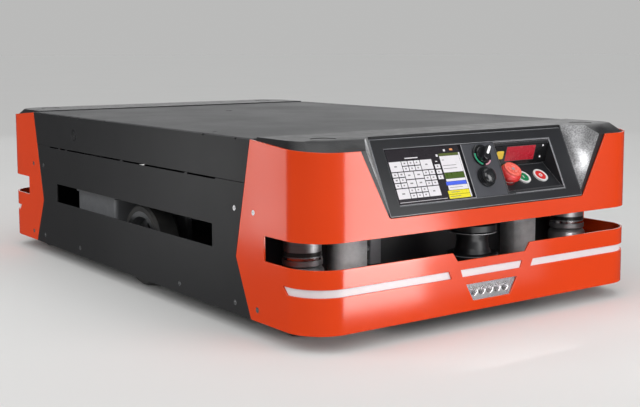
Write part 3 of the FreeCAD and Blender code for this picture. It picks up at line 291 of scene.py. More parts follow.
print("materials: making finishes")
finishes = {
    "orange_coat": coatedMetal("orangeCoat", orangeLook),
    "anthracite_coat": coatedMetal("graphiteCoat", graphiteLook),
    "deck_coat": coatedMetal("deckCoat", deckLook),
    "frame_steel": coatedMetal("frameCoat", frameLook),
    "plate_grey": coatedMetal("controlPlateCoat", plateLook),
    "cover_plastic": grainedPlastic("coverGrain", coverLook),
    "bezel_plastic": grainedPlastic("bezelGrain", bezelLook),
    "display_glass": plainGloss("displayFront", (0.010, 0.010, 0.012), roughness=0.12),
    "black_gloss": plainGloss("blackSmooth", (0.014, 0.015, 0.017), roughness=0.20, specular=0.6),
    "red_button": plainGloss("redMushroom", (0.72, 0.030, 0.028), roughness=0.30),
    "green_button": plainGloss("greenCap", (0.010, 0.23, 0.085), roughness=0.28),
    "white_ring": plainGloss("whiteCollar", (0.80, 0.80, 0.79), roughness=0.30),
    "light_diffuser": glowing("milkyDiffuser", (0.72, 0.70, 0.72), strength=0.08, roughness=0.45),
    "lamp_metal": plainGloss("lampHousing", (0.17, 0.17, 0.175), roughness=0.32, specular=0.6),
    "lamp_clear": clearLens("lampLens", roughness=0.04),
    "scanner_black": plainGloss("scannerShell", (0.005, 0.005, 0.006), roughness=0.34, specular=0.3),
    "turned_steel": turnedMetal("turnedSteel", (0.44, 0.43, 0.44), roughness=0.44, ringScale=18.0),
    "motor_aluminium": turnedMetal("motorCasting", (0.42, 0.43, 0.44), roughness=0.42, ringScale=30.0,
                                   squeeze=(40, 1, 1)),
    "wheel_tyre": tyreRubber("treadRubber"),
    "battery_grey": plainGloss("batteryCase", (0.20, 0.205, 0.215), roughness=0.45),
    "screw_steel": turnedMetal("screwPlating", (0.72, 0.72, 0.73), roughness=0.25, ringScale=60.0,
                               squeeze=(1, 1, 1)),
}


def shadeRound(item, angle):
    # shades round, and keeps edges sharper than angle as creases
    split = item.modifiers.new("keepCreases", "EDGE_SPLIT")
    split.split_angle = math.radians(angle)
    for face in item.data.polygons:
        face.use_smooth = True


slotOf = {entry["node"]: entry["material_slot"] for entry in frame["record"]["subparts"]}
for nodeName, item in nodes.items():
    item.data.materials.clear()
    item.data.materials.append(finishes[slotOf[nodeName]])
    # the imported faces have their own copies of shared points
    weld = item.modifiers.new("joinPoints", "WELD")
    weld.merge_threshold = 0.00001
    shadeRound(item, 35)
print("cad nodes:", len(nodes), "given finishes")


def addPiece(name, mesh, finish, body, place=None, smooth=None):
    # place is a matrix; smooth is the crease angle, or None for flat shading
    item = bpy.data.objects.new(name, mesh)
    bpy.context.scene.collection.objects.link(item)
    item.data.materials.append(finish)
    if place is not None:
        item.matrix_world = place
    if smooth is not None:
        shadeRound(item, smooth)
    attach(item, body)
    return item


def meshFrom(name, build):
    # the mesh of a bmesh that build fills
    mesh = bpy.data.meshes.new(name)
    work = bmesh.new()
    build(work)
    bmesh.ops.recalc_face_normals(work, faces=work.faces)
    work.to_mesh(mesh)
    work.free()
    return mesh


def addBuilt(name, build, finish, body, place=None, smooth=35):
    addPiece(name, meshFrom(name, build), finish, body, place, smooth)


def softenEdges(work, edges, offset):
    bmesh.ops.bevel(work, geom=list(edges), offset=offset, segments=2, affect="EDGES", profile=0.6)


def slab(work, outline, low, high, bevel=0.0):
    # a closed plate: outline is a list of (x, y), from low to high in z, top edge bevelled
    bottom = [work.verts.new((x, y, low)) for x, y in outline]
    top = [work.verts.new((x, y, high)) for x, y in outline]
    count = len(outline)
    work.faces.new(list(reversed(bottom)))
    cap = work.faces.new(top)
    for i in range(count):
        work.faces.new((bottom[i], bottom[(i + 1) % count], top[(i + 1) % count], top[i]))
    if bevel > 0:
        softenEdges(work, cap.edges, bevel)


def roundedBox(left, right, low, high, radius, steps=4):
    # outline of a rectangle with round corners
    corners = ((right - radius, high - radius, 0), (left + radius, high - radius, 90),
               (left + radius, low + radius, 180), (right - radius, low + radius, 270))
    points = []
    for x, y, start in corners:
        for step in range(steps + 1):
            angle = math.radians(start + 90 * step / steps)
            points.append((x + radius * math.cos(angle), y + radius * math.sin(angle)))
    return points


def lathe(work, profile, steps):
    # profile: (radius, height) pairs from bottom to top, closed on the axis where radius is 0
    rings = []
    for radius, height in profile:
        if radius == 0:
            rings.append([work.verts.new((0, 0, height))])
        else:
            angles = [2 * math.pi * i / steps for i in range(steps)]
            rings.append([work.verts.new((radius * math.cos(angle), radius * math.sin(angle), height))
                          for angle in angles])
    for low, high in zip(rings, rings[1:]):
        for i in range(steps):
            j = (i + 1) % steps
            if len(low) == 1:
                work.faces.new((low[0], high[j], high[i]))
            elif len(high) == 1:
                work.faces.new((low[i], low[j], high[0]))
            else:
                work.faces.new((low[i], low[j], high[j], high[i]))


def ringBand(work, inner, outer, low, high, steps, start=0, sweep=360):
    # a flat-sided ring, or an arc of one when sweep is under 360
    whole = sweep == 360
    count = steps if whole else steps + 1
    loops = []
    for i in range(count):
        angle = math.radians(start + sweep * i / steps)
        direction = (math.cos(angle), math.sin(angle))
        loops.append([work.verts.new((radius * direction[0], radius * direction[1], height))
                      for radius, height in ((inner, low), (outer, low), (outer, high), (inner, high))])
    for i in range(count if whole else count - 1):
        first = loops[i]
        second = loops[(i + 1) % count]
        for k in range(4):
            work.faces.new((first[k], first[(k + 1) % 4], second[(k + 1) % 4], second[k]))
    if not whole:
        work.faces.new(loops[0])
        work.faces.new(list(reversed(loops[-1])))


def nodeSpan(node, axes):
    # lowest and highest corner of a CAD node, measured along axes
    toLocal = axes.inverted()
    points = [toLocal @ vertex.co for vertex in nodes[node].data.vertices]
    low = Vector([min(point[i] for point in points) for i in range(3)])
    high = Vector([max(point[i] for point in points) for i in range(3)])
    return low, high


def basis(origin, xAxis, yAxis, zAxis):
    # the matrix that puts a piece at origin with these axes
    turn = Matrix((xAxis, yAxis, zAxis)).transposed().to_4x4()
    return Matrix.Translation(origin) @ turn


def slopeFrame(normal):
    # axes of a leaning panel: X across, Y up the slope, Z out of it
    across = Vector((1, 0, 0))
    out = Vector(normal).normalized()
    return basis(Vector((0, 0, 0)), across, out.cross(across), out)


def mainFacing(node, towards):
    # normal of the widest flat face of a CAD node on the side that looks towards a direction
    areas = {}
    for face in nodes[node].data.polygons:
        if face.normal.dot(Vector(towards)) > 0.3:
            key = tuple(round(part, 3) for part in face.normal)
            areas[key] = areas.get(key, 0) + face.area
    return Vector(max(areas, key=areas.get)).normalized()


def skinPiece(name, node, wanted, finish, body, thick=0.0002):
    # a thin closed skin laid on the chosen faces of a CAD node
    source = nodes[node].data
    places = []
    faces = []
    found = {}
    for face in source.polygons:
        if not wanted(face.center, face.normal):
            continue
        corners = []
        for index in face.vertices:
            key = tuple(round(part, 6) for part in source.vertices[index].co)
            if key not in found:
                found[key] = len(places)
                places.append(source.vertices[index].co.copy())
            corners.append(found[key])
        if len(set(corners)) == len(corners):
            faces.append(corners)
    mesh = bpy.data.meshes.new(name)
    mesh.from_pydata(places, [], faces)
    item = addPiece(name, mesh, finish, body, smooth=30)
    shell = item.modifiers.new("thickness", "SOLIDIFY")
    shell.thickness = thick
    shell.offset = 1


def tileSlabs(name, finish, tiles, low, high, span, axes, radius=0.0005):
    # tiles: (left, top, right, bottom) as shares of the span, measured from its top left corner
    width = span[1].x - span[0].x
    height = span[1].y - span[0].y

    def build(work):
        for left, top, right, bottom in tiles:
            outline = roundedBox(span[0].x + left * width, span[0].x + right * width,
                                 span[1].y - bottom * height, span[1].y - top * height, radius, 3)
            slab(work, outline, low, high)

    addBuilt(name, build, finish, "chassis", axes, smooth=None)


# axes of the console's three slopes: panel, buttons and gauge
consoleAxes = slopeFrame(joints["selector_turn"]["axis"])
buttonAxes = slopeFrame(-Vector(joints["start_button_push"]["axis"]))
gaugeAxes = slopeFrame(mainFacing("battery_gauge", (0, -1, 0)))

# places are shares of the lit area: the keypad is seven cells by seven, a column of three side
# keys stands at its right and the list panel beyond them
screenLook = {"backdrop": (0.018, 0.0155, 0.019), "tile": (0.58, 0.56, 0.585),
              "mark": (0.16, 0.15, 0.16), "olive": (0.070, 0.090, 0.018), "leaf": (0.042, 0.074, 0.008),
              "blue": (0.045, 0.095, 0.60), "yellow": (0.60, 0.53, 0.010), "amber": (0.62, 0.24, 0.09),
              "glow": 0.40, "backGlow": 0.3, "padLeft": 0.008, "padTop": 0.218, "cellWide": 0.0785,
              "cellHigh": 0.0967, "gap": 0.0085, "sideLeft": 0.578, "sideRight": 0.645, "sideTop": 0.33,
              "sideLow": 0.405, "sidePitch": 0.098, "smallKey": 0.09, "markHalf": 0.020,
              "smallMarkHalf": 0.012, "markUp": 0.014, "markDown": 0.010,
              "whole": (0.004, 0.008, 0.952, 0.985), "sheet": 0.00010, "lift": 0.00008, "sunk": 0.00004,
              "sheetSunk": 0.00005}
# name, colour, how far it stands above the tiles, corner radius, (left, top, right, bottom) shares
screenGroups = (
    ("statusMarks", "tile", 0, 0.0003, ((0.222, 0.168, 0.388, 0.186), (0.627, 0.150, 0.653, 0.192),
                                        (0.743, 0.066, 0.768, 0.106), (0.598, 0.268, 0.625, 0.284),
                                        (0.01, 0.945, 0.62, 0.952))),
    ("amberMark", "amber", 0, 0.0006, ((0.828, 0.060, 0.868, 0.094),)),
    ("listRows", "tile", 0, 0.0005, ((0.668, 0.190, 0.928, 0.492), (0.668, 0.612, 0.928, 0.655),
                                     (0.668, 0.730, 0.928, 0.815), (0.931, 0.140, 0.948, 0.965))),
    ("listHeader", "olive", 0, 0.0005, ((0.668, 0.140, 0.928, 0.186),)),
    ("listBand", "leaf", 0, 0.0005, ((0.668, 0.498, 0.928, 0.606),)),
    ("listPick", "blue", 0.00002, 0.0005, ((0.655, 0.660, 0.924, 0.724),)),
    ("listTail", "yellow", 0, 0.0005, ((0.645, 0.822, 0.928, 0.890), (0.645, 0.896, 0.928, 0.968))),
    ("listLines", "mark", 0.00003, 0.0002, ((0.690, 0.255, 0.715, 0.268), (0.680, 0.360, 0.860, 0.370),
                                            (0.680, 0.415, 0.860, 0.425), (0.690, 0.765, 0.86, 0.774),
                                            (0.690, 0.850, 0.80, 0.860), (0.660, 0.925, 0.80, 0.935))),
)


def keypadTiles():
    # (column, row, width, height) in cells: four large corner keys, the rest single, four in the middle
    cells = [(0, 0, 2, 2), (5, 0, 2, 2), (0, 5, 2, 2), (5, 5, 2, 2)]
    cells += [(column, row, 1, 1) for row in (0, 1, 5, 6) for column in (2, 3, 4)]
    cells += [(column, row, 1, 1) for row in (2, 3, 4) for column in (0, 1, 5, 6)]
    cells += [(2 + 1.5 * column, 2 + 1.5 * row, 1.5, 1.5) for row in (0, 1) for column in (0, 1)]
    tiles = []
    for column, row, wide, high in cells:
        left = screenLook["padLeft"] + column * screenLook["cellWide"]
        top = screenLook["padTop"] + row * screenLook["cellHigh"]
        tiles.append((left + screenLook["gap"] / 2, top + screenLook["gap"],
                      left + wide * screenLook["cellWide"] - screenLook["gap"] / 2,
                      top + high * screenLook["cellHigh"] - screenLook["gap"]))
    for step in range(3):
        down = step * screenLook["sidePitch"]
        tiles.append((screenLook["sideLeft"], screenLook["sideTop"] + down,
                      screenLook["sideRight"], screenLook["sideLow"] + down))
    return tiles


def keypadMarks(keys):
    # a short dash of varying length in the middle of each key
    marks = []
    for left, top, right, bottom in keys:
        across = (left + right) / 2
        down = (top + bottom) / 2
        small = right - left < screenLook["smallKey"]
        wide = screenLook["smallMarkHalf"] if small else screenLook["markHalf"]
        marks.append((across - wide, down - screenLook["markUp"],
                      across + wide * random.uniform(0.4, 1), down + screenLook["markDown"]))
    return marks


def makeScreen():
    span = nodeSpan("display_module", consoleAxes)
    face = span[1].z
    sheet = face + screenLook["sheet"]
    front = sheet + screenLook["lift"]

    def show(name, tint, proud, radius, tiles):
        light = glowing(name + "Light", screenLook[tint], screenLook["glow"], roughness=0.3)
        tileSlabs(name, light, tiles, sheet - screenLook["sunk"], front + proud, span, consoleAxes,
                  radius)

    backdrop = glowing("screenBackdropLight", screenLook["backdrop"], screenLook["backGlow"],
                       roughness=0.22)
    tileSlabs("screenSheet", backdrop, [screenLook["whole"]], face - screenLook["sheetSunk"], sheet,
              span, consoleAxes)
    keys = keypadTiles()
    show("keypadTiles", "tile", 0, 0.0005, keys)
    show("keypadMarks", "mark", 0.00003, 0.0002, keypadMarks(keys))
    for group in screenGroups:
        show(*group)


makeScreen()
print("console: screen filled")

# boxes and places are (left, right, low, high) and (across, up) from the gauge's lower edge
gaugeLook = {"sideLeft": 0.0515, "sideRight": 0.1825, "bottom": 0.0010, "top": 0.0005, "proud": 0.0005,
             "window": (0.0790, 0.1500, 0.0075, 0.0340), "rim": 0.0009, "windowProud": 0.0003,
             "rimProud": 0.00012, "patch": (0.0560, 0.0735, 0.0120, 0.0270), "patchProud": 0.00015,
             "dots": ((0.1690, 0.0320), (0.1665, 0.0110)), "dotRadius": 0.0019, "sunk": 0.0001}


def makeGauge():
    low, high = nodeSpan("battery_gauge", gaugeAxes)
    front = high.z + gaugeLook["proud"]
    sunk = front - gaugeLook["sunk"]
    rim = gaugeLook["rim"]

    def board(name, box, bottom, top, finish, radius, bevel=0.0):
        addBuilt(name, lambda work: slab(work, roundedBox(*box, radius), bottom, top, bevel), finish,
                 "chassis", gaugeAxes, smooth=40)

    def onGauge(box, grow=0.0):
        left, right, down, up = box
        return left - grow, right + grow, low.y + down - grow, low.y + up + grow

    face = (gaugeLook["sideLeft"], gaugeLook["sideRight"], low.y + gaugeLook["bottom"],
            high.y - gaugeLook["top"])
    board("gaugeFace", face, low.z + 0.0002, front,
          plainGloss("gaugeBlack", (0.008, 0.008, 0.009), roughness=0.14), radius=0.0012, bevel=0.0002)
    board("gaugeWindowRim", onGauge(gaugeLook["window"], rim), sunk, front + gaugeLook["rimProud"],
          plainGloss("gaugeRim", (0.10, 0.07, 0.075), roughness=0.3), radius=0.0010)
    board("gaugeWindow", onGauge(gaugeLook["window"]), front, front + gaugeLook["windowProud"],
          glowing("gaugeCrimson", (0.36, 0.010, 0.022), strength=0.30, roughness=0.25),
          radius=0.0008, bevel=0.0001)
    board("yellowPatch", onGauge(gaugeLook["patch"]), sunk, front + gaugeLook["patchProud"],
          plainGloss("patchYellow", (0.95, 0.66, 0.06), roughness=0.4, specular=0.4), radius=0.0030)
    radius = gaugeLook["dotRadius"]
    dome = [(0, 0), (radius, 0), (radius * 0.8, 0.0007), (0, 0.0009)]
    dotLight = glowing("dotWhite", (0.75, 0.74, 0.76), strength=0.4, roughness=0.2)
    for index, (across, up) in enumerate(gaugeLook["dots"]):
        addBuilt("gaugeDot" + str(index + 1), lambda work: lathe(work, dome, steps=20), dotLight,
                 "chassis",
                 gaugeAxes @ Matrix.Translation((across, low.y + up, sunk)), smooth=50)


makeGauge()

stopLook = {"faceRadius": 0.0162, "faceHighlightColour": (0.93, 0.15, 0.11), "arcIn": 0.0062, "arcOut": 0.0086,
            "arcStarts": (20, 140, 260), "arcSweep": 62, "hubRadius": 0.0032, "skirtIn": 0.0130,
            "skirtOut": 0.0156, "sunk": -0.0006, "proud": 0.0002}
capLook = {"barWide": 0.0018, "barLong": 0.0058, "barRound": 0.0006, "ringOut": 0.0037,
           "ringIn": 0.0020, "sunk": -0.0012, "proud": 0.00025}


def centreOf(span):
    return (span[0].x + span[1].x) / 2, (span[0].y + span[1].y) / 2


def makeStopMarks():
    # a face lighter than the mushroom's red as a painted highlight, with a hub and three arcs, and a dark red ring
    # under it as painted shade
    span = nodeSpan("emergency_stop", buttonAxes)
    across, up = centreOf(span)
    onStop = buttonAxes @ Matrix.Translation((across, up, span[1].z))
    radius = stopLook["faceRadius"]
    hub = stopLook["hubRadius"]
    sunk = stopLook["sunk"]
    proud = stopLook["proud"]
    dish = [(0, -0.0030), (radius, -0.0030), (radius, -0.0004), (radius * 0.97, 0.0001),
            (radius * 0.93, 0.0003), (radius * 0.66, 0.0003), (radius * 0.63, 0.0), (0, 0.0)]
    button = [(0, sunk), (hub, sunk), (hub, proud), (hub * 0.7, 0.0006), (0, 0.0006)]
    collars = nodeSpan("button_collars", buttonAxes)

    def skirt(work):
        ringBand(work, stopLook["skirtIn"], stopLook["skirtOut"], collars[0].z, collars[1].z + proud,
                 steps=56)

    def arcs(work):
        for start in stopLook["arcStarts"]:
            ringBand(work, stopLook["arcIn"], stopLook["arcOut"], sunk, proud, steps=18,
                     start=start, sweep=stopLook["arcSweep"])

    # painted highlight on the face, painted shade in the ring beneath
    bright = plainGloss("stopFacePaintedHighlight", stopLook["faceHighlightColour"], roughness=0.26, specular=0.6, wear=0.06)
    paintedShadeRed = plainGloss("stopUnderPaintedShade", (0.20, 0.010, 0.010), roughness=0.35)
    grey = plainGloss("stopHubGrey", (0.42, 0.36, 0.37), roughness=0.3)
    pale = plainGloss("stopArcPale", (0.93, 0.26, 0.22), roughness=0.3)
    addBuilt("stopFace", lambda work: lathe(work, dish, steps=56), bright, "emergency_stop",
             onStop)
    addBuilt("stopShadeRing", skirt, paintedShadeRed, "chassis",
             buttonAxes @ Matrix.Translation((across, up, 0)))
    addBuilt("stopHub", lambda work: lathe(work, button, steps=32), grey, "emergency_stop",
             onStop)
    addBuilt("stopArcs", arcs, pale, "emergency_stop", onStop)


def makeCapMarks():
    # a plain bar on the green cap and a plain ring on the red one
    pale = plainGloss("markPale", (0.80, 0.79, 0.80), roughness=0.35, specular=0.4)
    half = capLook["barWide"] / 2
    reach = capLook["barLong"] / 2

    def bar(work):
        slab(work, roundedBox(-half, half, -reach, reach, capLook["barRound"], 3),
             capLook["sunk"], capLook["proud"])

    def ring(work):
        ringBand(work, capLook["ringIn"], capLook["ringOut"], capLook["sunk"], capLook["proud"],
                 steps=36)

    for node, build in (("start_button", bar), ("stop_button", ring)):
        span = nodeSpan(node, buttonAxes)
        addBuilt(node + "Mark", build, pale, node,
                 buttonAxes @ Matrix.Translation((*centreOf(span), span[1].z)))


makeStopMarks()
makeCapMarks()

# each arc: name, colour, start and sweep in degrees; the bar runs out from the pivot along the grip
selectorLook = {"bandIn": 0.0162, "bandOut": 0.0188, "bandSunk": -0.0010, "bandProud": 0.0002,
                "arcs": (("selectorGreenArc", (0.03, 0.42, 0.22), 168, 84),
                         ("selectorRoseArc", (0.75, 0.36, 0.44), 272, 50)),
                "barFrom": -0.004, "barTo": 0.0132, "barWide": 0.0046, "barSunk": -0.0006,
                "barHigh": 0.0004}


def makeSelector():
    knobTop = nodeSpan("selector_knob", consoleAxes)[1].z
    ringTop = nodeSpan("selector_ring", consoleAxes)[1].z
    pivot = consoleAxes.inverted() @ Vector(joints["selector_turn"]["pos_m"])
    for name, colour, start, sweep in selectorLook["arcs"]:
        def arc(work):
            ringBand(work, selectorLook["bandIn"], selectorLook["bandOut"], selectorLook["bandSunk"],
                     selectorLook["bandProud"], steps=24, start=start, sweep=sweep)

        addBuilt(name, arc, plainGloss(name + "Paint", colour, roughness=0.3), "chassis",
                 consoleAxes @ Matrix.Translation((pivot.x, pivot.y, ringTop)))
    ahead = gripDirection(pivot, knobTop)
    turn = Matrix.Rotation(math.atan2(ahead.y, ahead.x), 4, "Z")
    half = selectorLook["barWide"] / 2
    outline = roundedBox(selectorLook["barFrom"], selectorLook["barTo"], -half, half, half * 0.9, 6)

    def bar(work):
        slab(work, outline, selectorLook["barSunk"], selectorLook["barHigh"], 0.00015)

    # the white bar also gives off light though it is no lamp: a painted highlight
    glowingWhite = glowing("barWhiteGlow", (0.86, 0.86, 0.86), strength=0.25, roughness=0.3)
    addBuilt("selectorBar", bar, glowingWhite, "selector_knob",
             consoleAxes @ Matrix.Translation((pivot.x, pivot.y, knobTop)) @ turn)


def gripDirection(pivot, top):
    # towards the middle of the vertices near the knob's top that lie furthest from the pivot
    toConsole = consoleAxes.inverted()
    points = [toConsole @ vertex.co for vertex in nodes["selector_knob"].data.vertices]
    arms = [Vector((point.x - pivot.x, point.y - pivot.y)) for point in points if point.z > top - 0.002]
    far = max(arm.length for arm in arms)
    tip = Vector((0, 0))
    for arm in arms:
        if arm.length > far - 0.0008:
            tip += arm
    return tip.normalized()


makeSelector()


# pale greys on the black bezel's chamfers and along the edges of the recess and screen: painted highlights
rimHighlightLook = {"rim": (0.30, 0.31, 0.33), "rimThick": 0.00012, "leastLean": 0.25, "mostLean": 0.97,
            "edge": (0.36, 0.36, 0.38), "sunk": 0.0004, "proud": 0.0003, "round": 0.0002}


def onRim(centre, normal):
    # the bezel's chamfers: neither its face nor its sides
    lean = normal.dot(Vector(joints["selector_turn"]["axis"]))
    return rimHighlightLook["leastLean"] < lean < rimHighlightLook["mostLean"]


def makeBezelHighlights():
    # painted highlights: pale skins on the chamfers and pale strips along the edges
    rim = plainGloss("rimPaintedHighlight", rimHighlightLook["rim"], roughness=0.24, specular=0.6)
    skinPiece("bezelRimHighlights", "console_bezel", onRim, rim, "chassis",
              rimHighlightLook["rimThick"])
    edge = plainGloss("recessEdgePaintedHighlight", rimHighlightLook["edge"], roughness=0.3, specular=0.6)
    for name, node, strips in (
            ("recessEdgeHighlights", "button_recess", [(0, 0, 1, 0.010), (0.9925, 0, 1, 1), (0.12, 0.990, 1, 1)]),
            ("screenEdgeHighlights", "display_module", [(0.993, 0, 1, 1), (0.0, 0.990, 0.995, 1)])):
        span = nodeSpan(node, consoleAxes)
        top = span[1].z
        tileSlabs(name, edge, strips, top - rimHighlightLook["sunk"], top + rimHighlightLook["proud"], span,
                  consoleAxes, rimHighlightLook["round"])


makeBezelHighlights()
print("console: gauge, stop, buttons and selector marked")

# both ends of the robot carry the same fittings: name and which way along Y they look
ends = {"front": -1, "rear": 1}
# seal and clamp: (low, high, how far it stands out of the column)
slotLook = {"zincAndSheen": (0.88, 0.88, 0.89), "columnRadius": 0.0310, "sunk": 0.0004,
            "seal": (0.1360, 0.1430, 0.0006), "clamp": (0.1290, 0.1345, 0.0012), "postInner": 0.1745,
            "postOuter": 0.2305, "postNear": 0.462, "postFar": 0.5085, "postFoot": 0.06}


def onPost(centre, normal):
    # the upright sheet faces beside the scanner that can be seen through the slot
    return (slotLook["postInner"] < abs(centre.x) < slotLook["postOuter"]
            and slotLook["postNear"] < abs(centre.y) < slotLook["postFar"]
            and centre.z > slotLook["postFoot"] and abs(normal.z) < 0.5
            and (abs(normal.x) > 0.5 or centre.y * normal.y > 0.0))


def makeSlotFittings():
    # the posts' near-white matt colour is the zinc sheet's own pale grey with its sheen painted in
    zincAndSheen = plainGloss("zincSheetWithSheen", slotLook["zincAndSheen"], roughness=0.36, specular=0.8, wear=0.25)
    rubber = plainGloss("sealRubber", (0.012, 0.012, 0.012), roughness=0.35, specular=0.4)
    bright = turnedMetal("clampRing", (0.72, 0.70, 0.70), roughness=0.18, ringScale=40.0,
                         squeeze=(1, 1, 30))
    radius = slotLook["columnRadius"]
    for end in ends:
        skinPiece("postSheets" + end.capitalize(), "end_member_" + end, onPost, zincAndSheen, "chassis")
        for side in ("left", "right"):
            swivel = joints["castor_" + end + "_" + side + "_swivel"]["pos_m"]
            place = Matrix.Translation((swivel[0], swivel[1], 0))
            for name, finish, (low, high, proud) in (("columnSeal", rubber, slotLook["seal"]),
                                                     ("columnClamp", bright, slotLook["clamp"])):
                def band(work):
                    ringBand(work, radius - slotLook["sunk"], radius + proud, low, high, steps=64)

                addBuilt(name + end.capitalize() + side.capitalize(), band, finish, "chassis",
                         place)


makeSlotFittings()

# a small terminal block on the end member's wall, beside the left post
# each box: low corner, high corner, edge radius
terminalLook = {"body": ((-0.1630, -0.5020, 0.1000), (-0.1400, -0.4696, 0.1580), 0.0012),
                "top": ((-0.1660, -0.5050, 0.1575), (-0.1370, -0.4696, 0.1700), 0.0010),
                "plug": ((-0.1730, -0.4960, 0.1080), (-0.1625, -0.4696, 0.1400), 0.0008),
                "knobAt": (-0.1675, -0.4958, 0.1280), "knobRadius": 0.0045}


def blockBetween(low, high, bevel):
    def build(work):
        bmesh.ops.create_cube(work, size=1)
        for vertex in work.verts:
            vertex.co = [low[i] if vertex.co[i] < 0 else high[i] for i in range(3)]
        softenEdges(work, work.edges, bevel)
    return build


def makeTerminal():
    grey = plainGloss("terminalGrey", (0.16, 0.16, 0.17), roughness=0.4)
    paler = plainGloss("terminalCap", (0.30, 0.30, 0.31), roughness=0.4)
    black = plainGloss("terminalBlack", (0.012, 0.012, 0.013), roughness=0.3)
    for name, finish, box in (("terminalBody", grey, "body"), ("terminalTop", paler, "top"),
                              ("terminalPlug", black, "plug")):
        addBuilt(name, blockBetween(*terminalLook[box]), finish, "chassis")
    radius = terminalLook["knobRadius"]
    knob = [(0, 0), (radius, 0), (radius, 0.004), (radius * 0.7, 0.0052), (radius * 0.3, 0.0046),
            (0, 0.0046)]
    forward = basis(Vector(terminalLook["knobAt"]), Vector((1, 0, 0)), Vector((0, 0, 1)),
                    Vector((0, -1, 0)))
    addBuilt("terminalKnob", lambda work: lathe(work, knob, steps=24), grey, "chassis",
             forward, smooth=40)


makeTerminal()

# painted highlights: pale rings on the edges of the scanner's black disc and cap: (name, radius, height)
scannerHighlightRings = (("discEdgeHighlight", 0.0443, 0.1128), ("capEdgeHighlight", 0.0413, 0.1513))
scannerLook = {"reach": 0.044, "edgeThick": 0.0010, "edgeHigh": 0.0011}


def makeScannerHighlights():
    # pale rings on the black scanner: painted highlights
    edge = plainGloss("scannerEdgeHighlight", (0.20, 0.20, 0.21), roughness=0.2, specular=0.7)
    for end, outward in ends.items():
        low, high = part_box("scanner_" + end)
        across = (low.x + high.x) / 2
        along = outward * (max(abs(low.y), abs(high.y)) - scannerLook["reach"])
        for name, radius, height in scannerHighlightRings:
            inner = radius - scannerLook["edgeThick"]
            top = height + scannerLook["edgeHigh"]

            def band(work):
                ringBand(work, inner, radius, height, top, steps=72)

            addBuilt(name + end.capitalize(), band, edge, "chassis",
                     Matrix.Translation((across, along, 0)))


makeScannerHighlights()

# ribs are places across the lens, each a little shorter than the one before
lampLook = {"pitch": 0.018, "cups": 5, "cupsReach": 0.046, "cupLean": (0.25, 0.75), "bulb": 0.0024,
            "bulbBehind": 0.0146, "ribs": (0.046, 0.0485, 0.051), "ribWide": 0.0009, "ribDeep": 0.0010,
            "ribBehind": 0.0030, "ribHalf": 0.0125, "ribShorter": 1.4, "ribUp": 0.0012}


def onCup(centre, normal):
    least, most = lampLook["cupLean"]
    return least < abs(normal.y) < most and abs(centre.x) < lampLook["cupsReach"]


def makeLampFittings():
    mirror = plainGloss("reflectorBright", (0.42, 0.41, 0.42), roughness=0.22, wear=0.15, metallic=1.0)
    bulbLight = glowing("bulbWhite", (0.85, 0.82, 0.85), strength=0.25, roughness=0.2)
    ribGrey = plainGloss("lampRib", (0.48, 0.47, 0.48), roughness=0.25, specular=0.6)
    for end, outward in ends.items():
        skinPiece("reflectors" + end.capitalize(), "lamp_" + end, onCup, mirror, "chassis",
                  thick=0.00015)
        low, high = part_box("lamp_lens_" + end)
        middle = (low.z + high.z) / 2
        outer = max(abs(low.y), abs(high.y))

        def bulbs(work):
            for step in range(lampLook["cups"]):
                across = (step - (lampLook["cups"] - 1) / 2) * lampLook["pitch"]
                made = bmesh.ops.create_uvsphere(work, u_segments=20, v_segments=10,
                                                 radius=lampLook["bulb"])
                bmesh.ops.translate(work, verts=made["verts"],
                                    vec=(across, outward * (outer - lampLook["bulbBehind"]), middle))

        def ribs(work):
            for side in (-1, 1):
                for across in lampLook["ribs"]:
                    half = lampLook["ribHalf"] - (across - lampLook["ribs"][0]) * lampLook["ribShorter"]
                    made = bmesh.ops.create_cube(work, size=1)
                    for vertex in made["verts"]:
                        deep = outer - lampLook["ribBehind"] + vertex.co.y * lampLook["ribDeep"]
                        vertex.co = (side * across + vertex.co.x * lampLook["ribWide"], outward * deep,
                                     middle + lampLook["ribUp"] + vertex.co.z * 2 * half)

        addBuilt("lampBulbs" + end.capitalize(), bulbs, bulbLight, "chassis",
                 smooth=60)
        addBuilt("lampRibs" + end.capitalize(), ribs, ribGrey, "chassis")


makeLampFittings()

# lean is which way the slanted cheek on the +X side looks, ahead where along Y the cheeks begin
cheekPlace = {"lean": (-0.68, -0.66, 0.32), "close": 0.985, "ahead": -0.55}


def onCheek(centre, normal):
    lean = Vector(cheekPlace["lean"])
    if centre.x < 0:
        lean.x = -lean.x
    return centre.y < cheekPlace["ahead"] and normal.dot(lean) > cheekPlace["close"]


def makeCheekSheen():
    # pale speckled skins on the black cover's cheeks: painted sheen
    grain = paintedSheenPlastic("cheekPaintedSheen", cheekSheenLook)
    skinPiece("cheekSheenSkins", "front_cover", onCheek, grain, "chassis", thick=0.0001)


makeCheekSheen()
print("slots, lamps and cover cheeks dressed")

stageLook = {"floor": (0.80, 0.80, 0.79), "world": (0.93, 0.94, 0.95), "worldGlow": 0.11,
             "worldSeen": (0.493, 0.493, 0.488), "radius": 60.0, "rimSteps": 48, "sun": 2.0,
             "sunFrom": (-0.35, -0.45, 1.0), "sunSpread": 110}
cameraLook = {"place": (-1.3042, -1.9457, 0.4684), "heading": (0.57957, 0.80721, -0.11185),
              "roll": -0.169, "lens": 61.93, "shiftY": -0.0523}


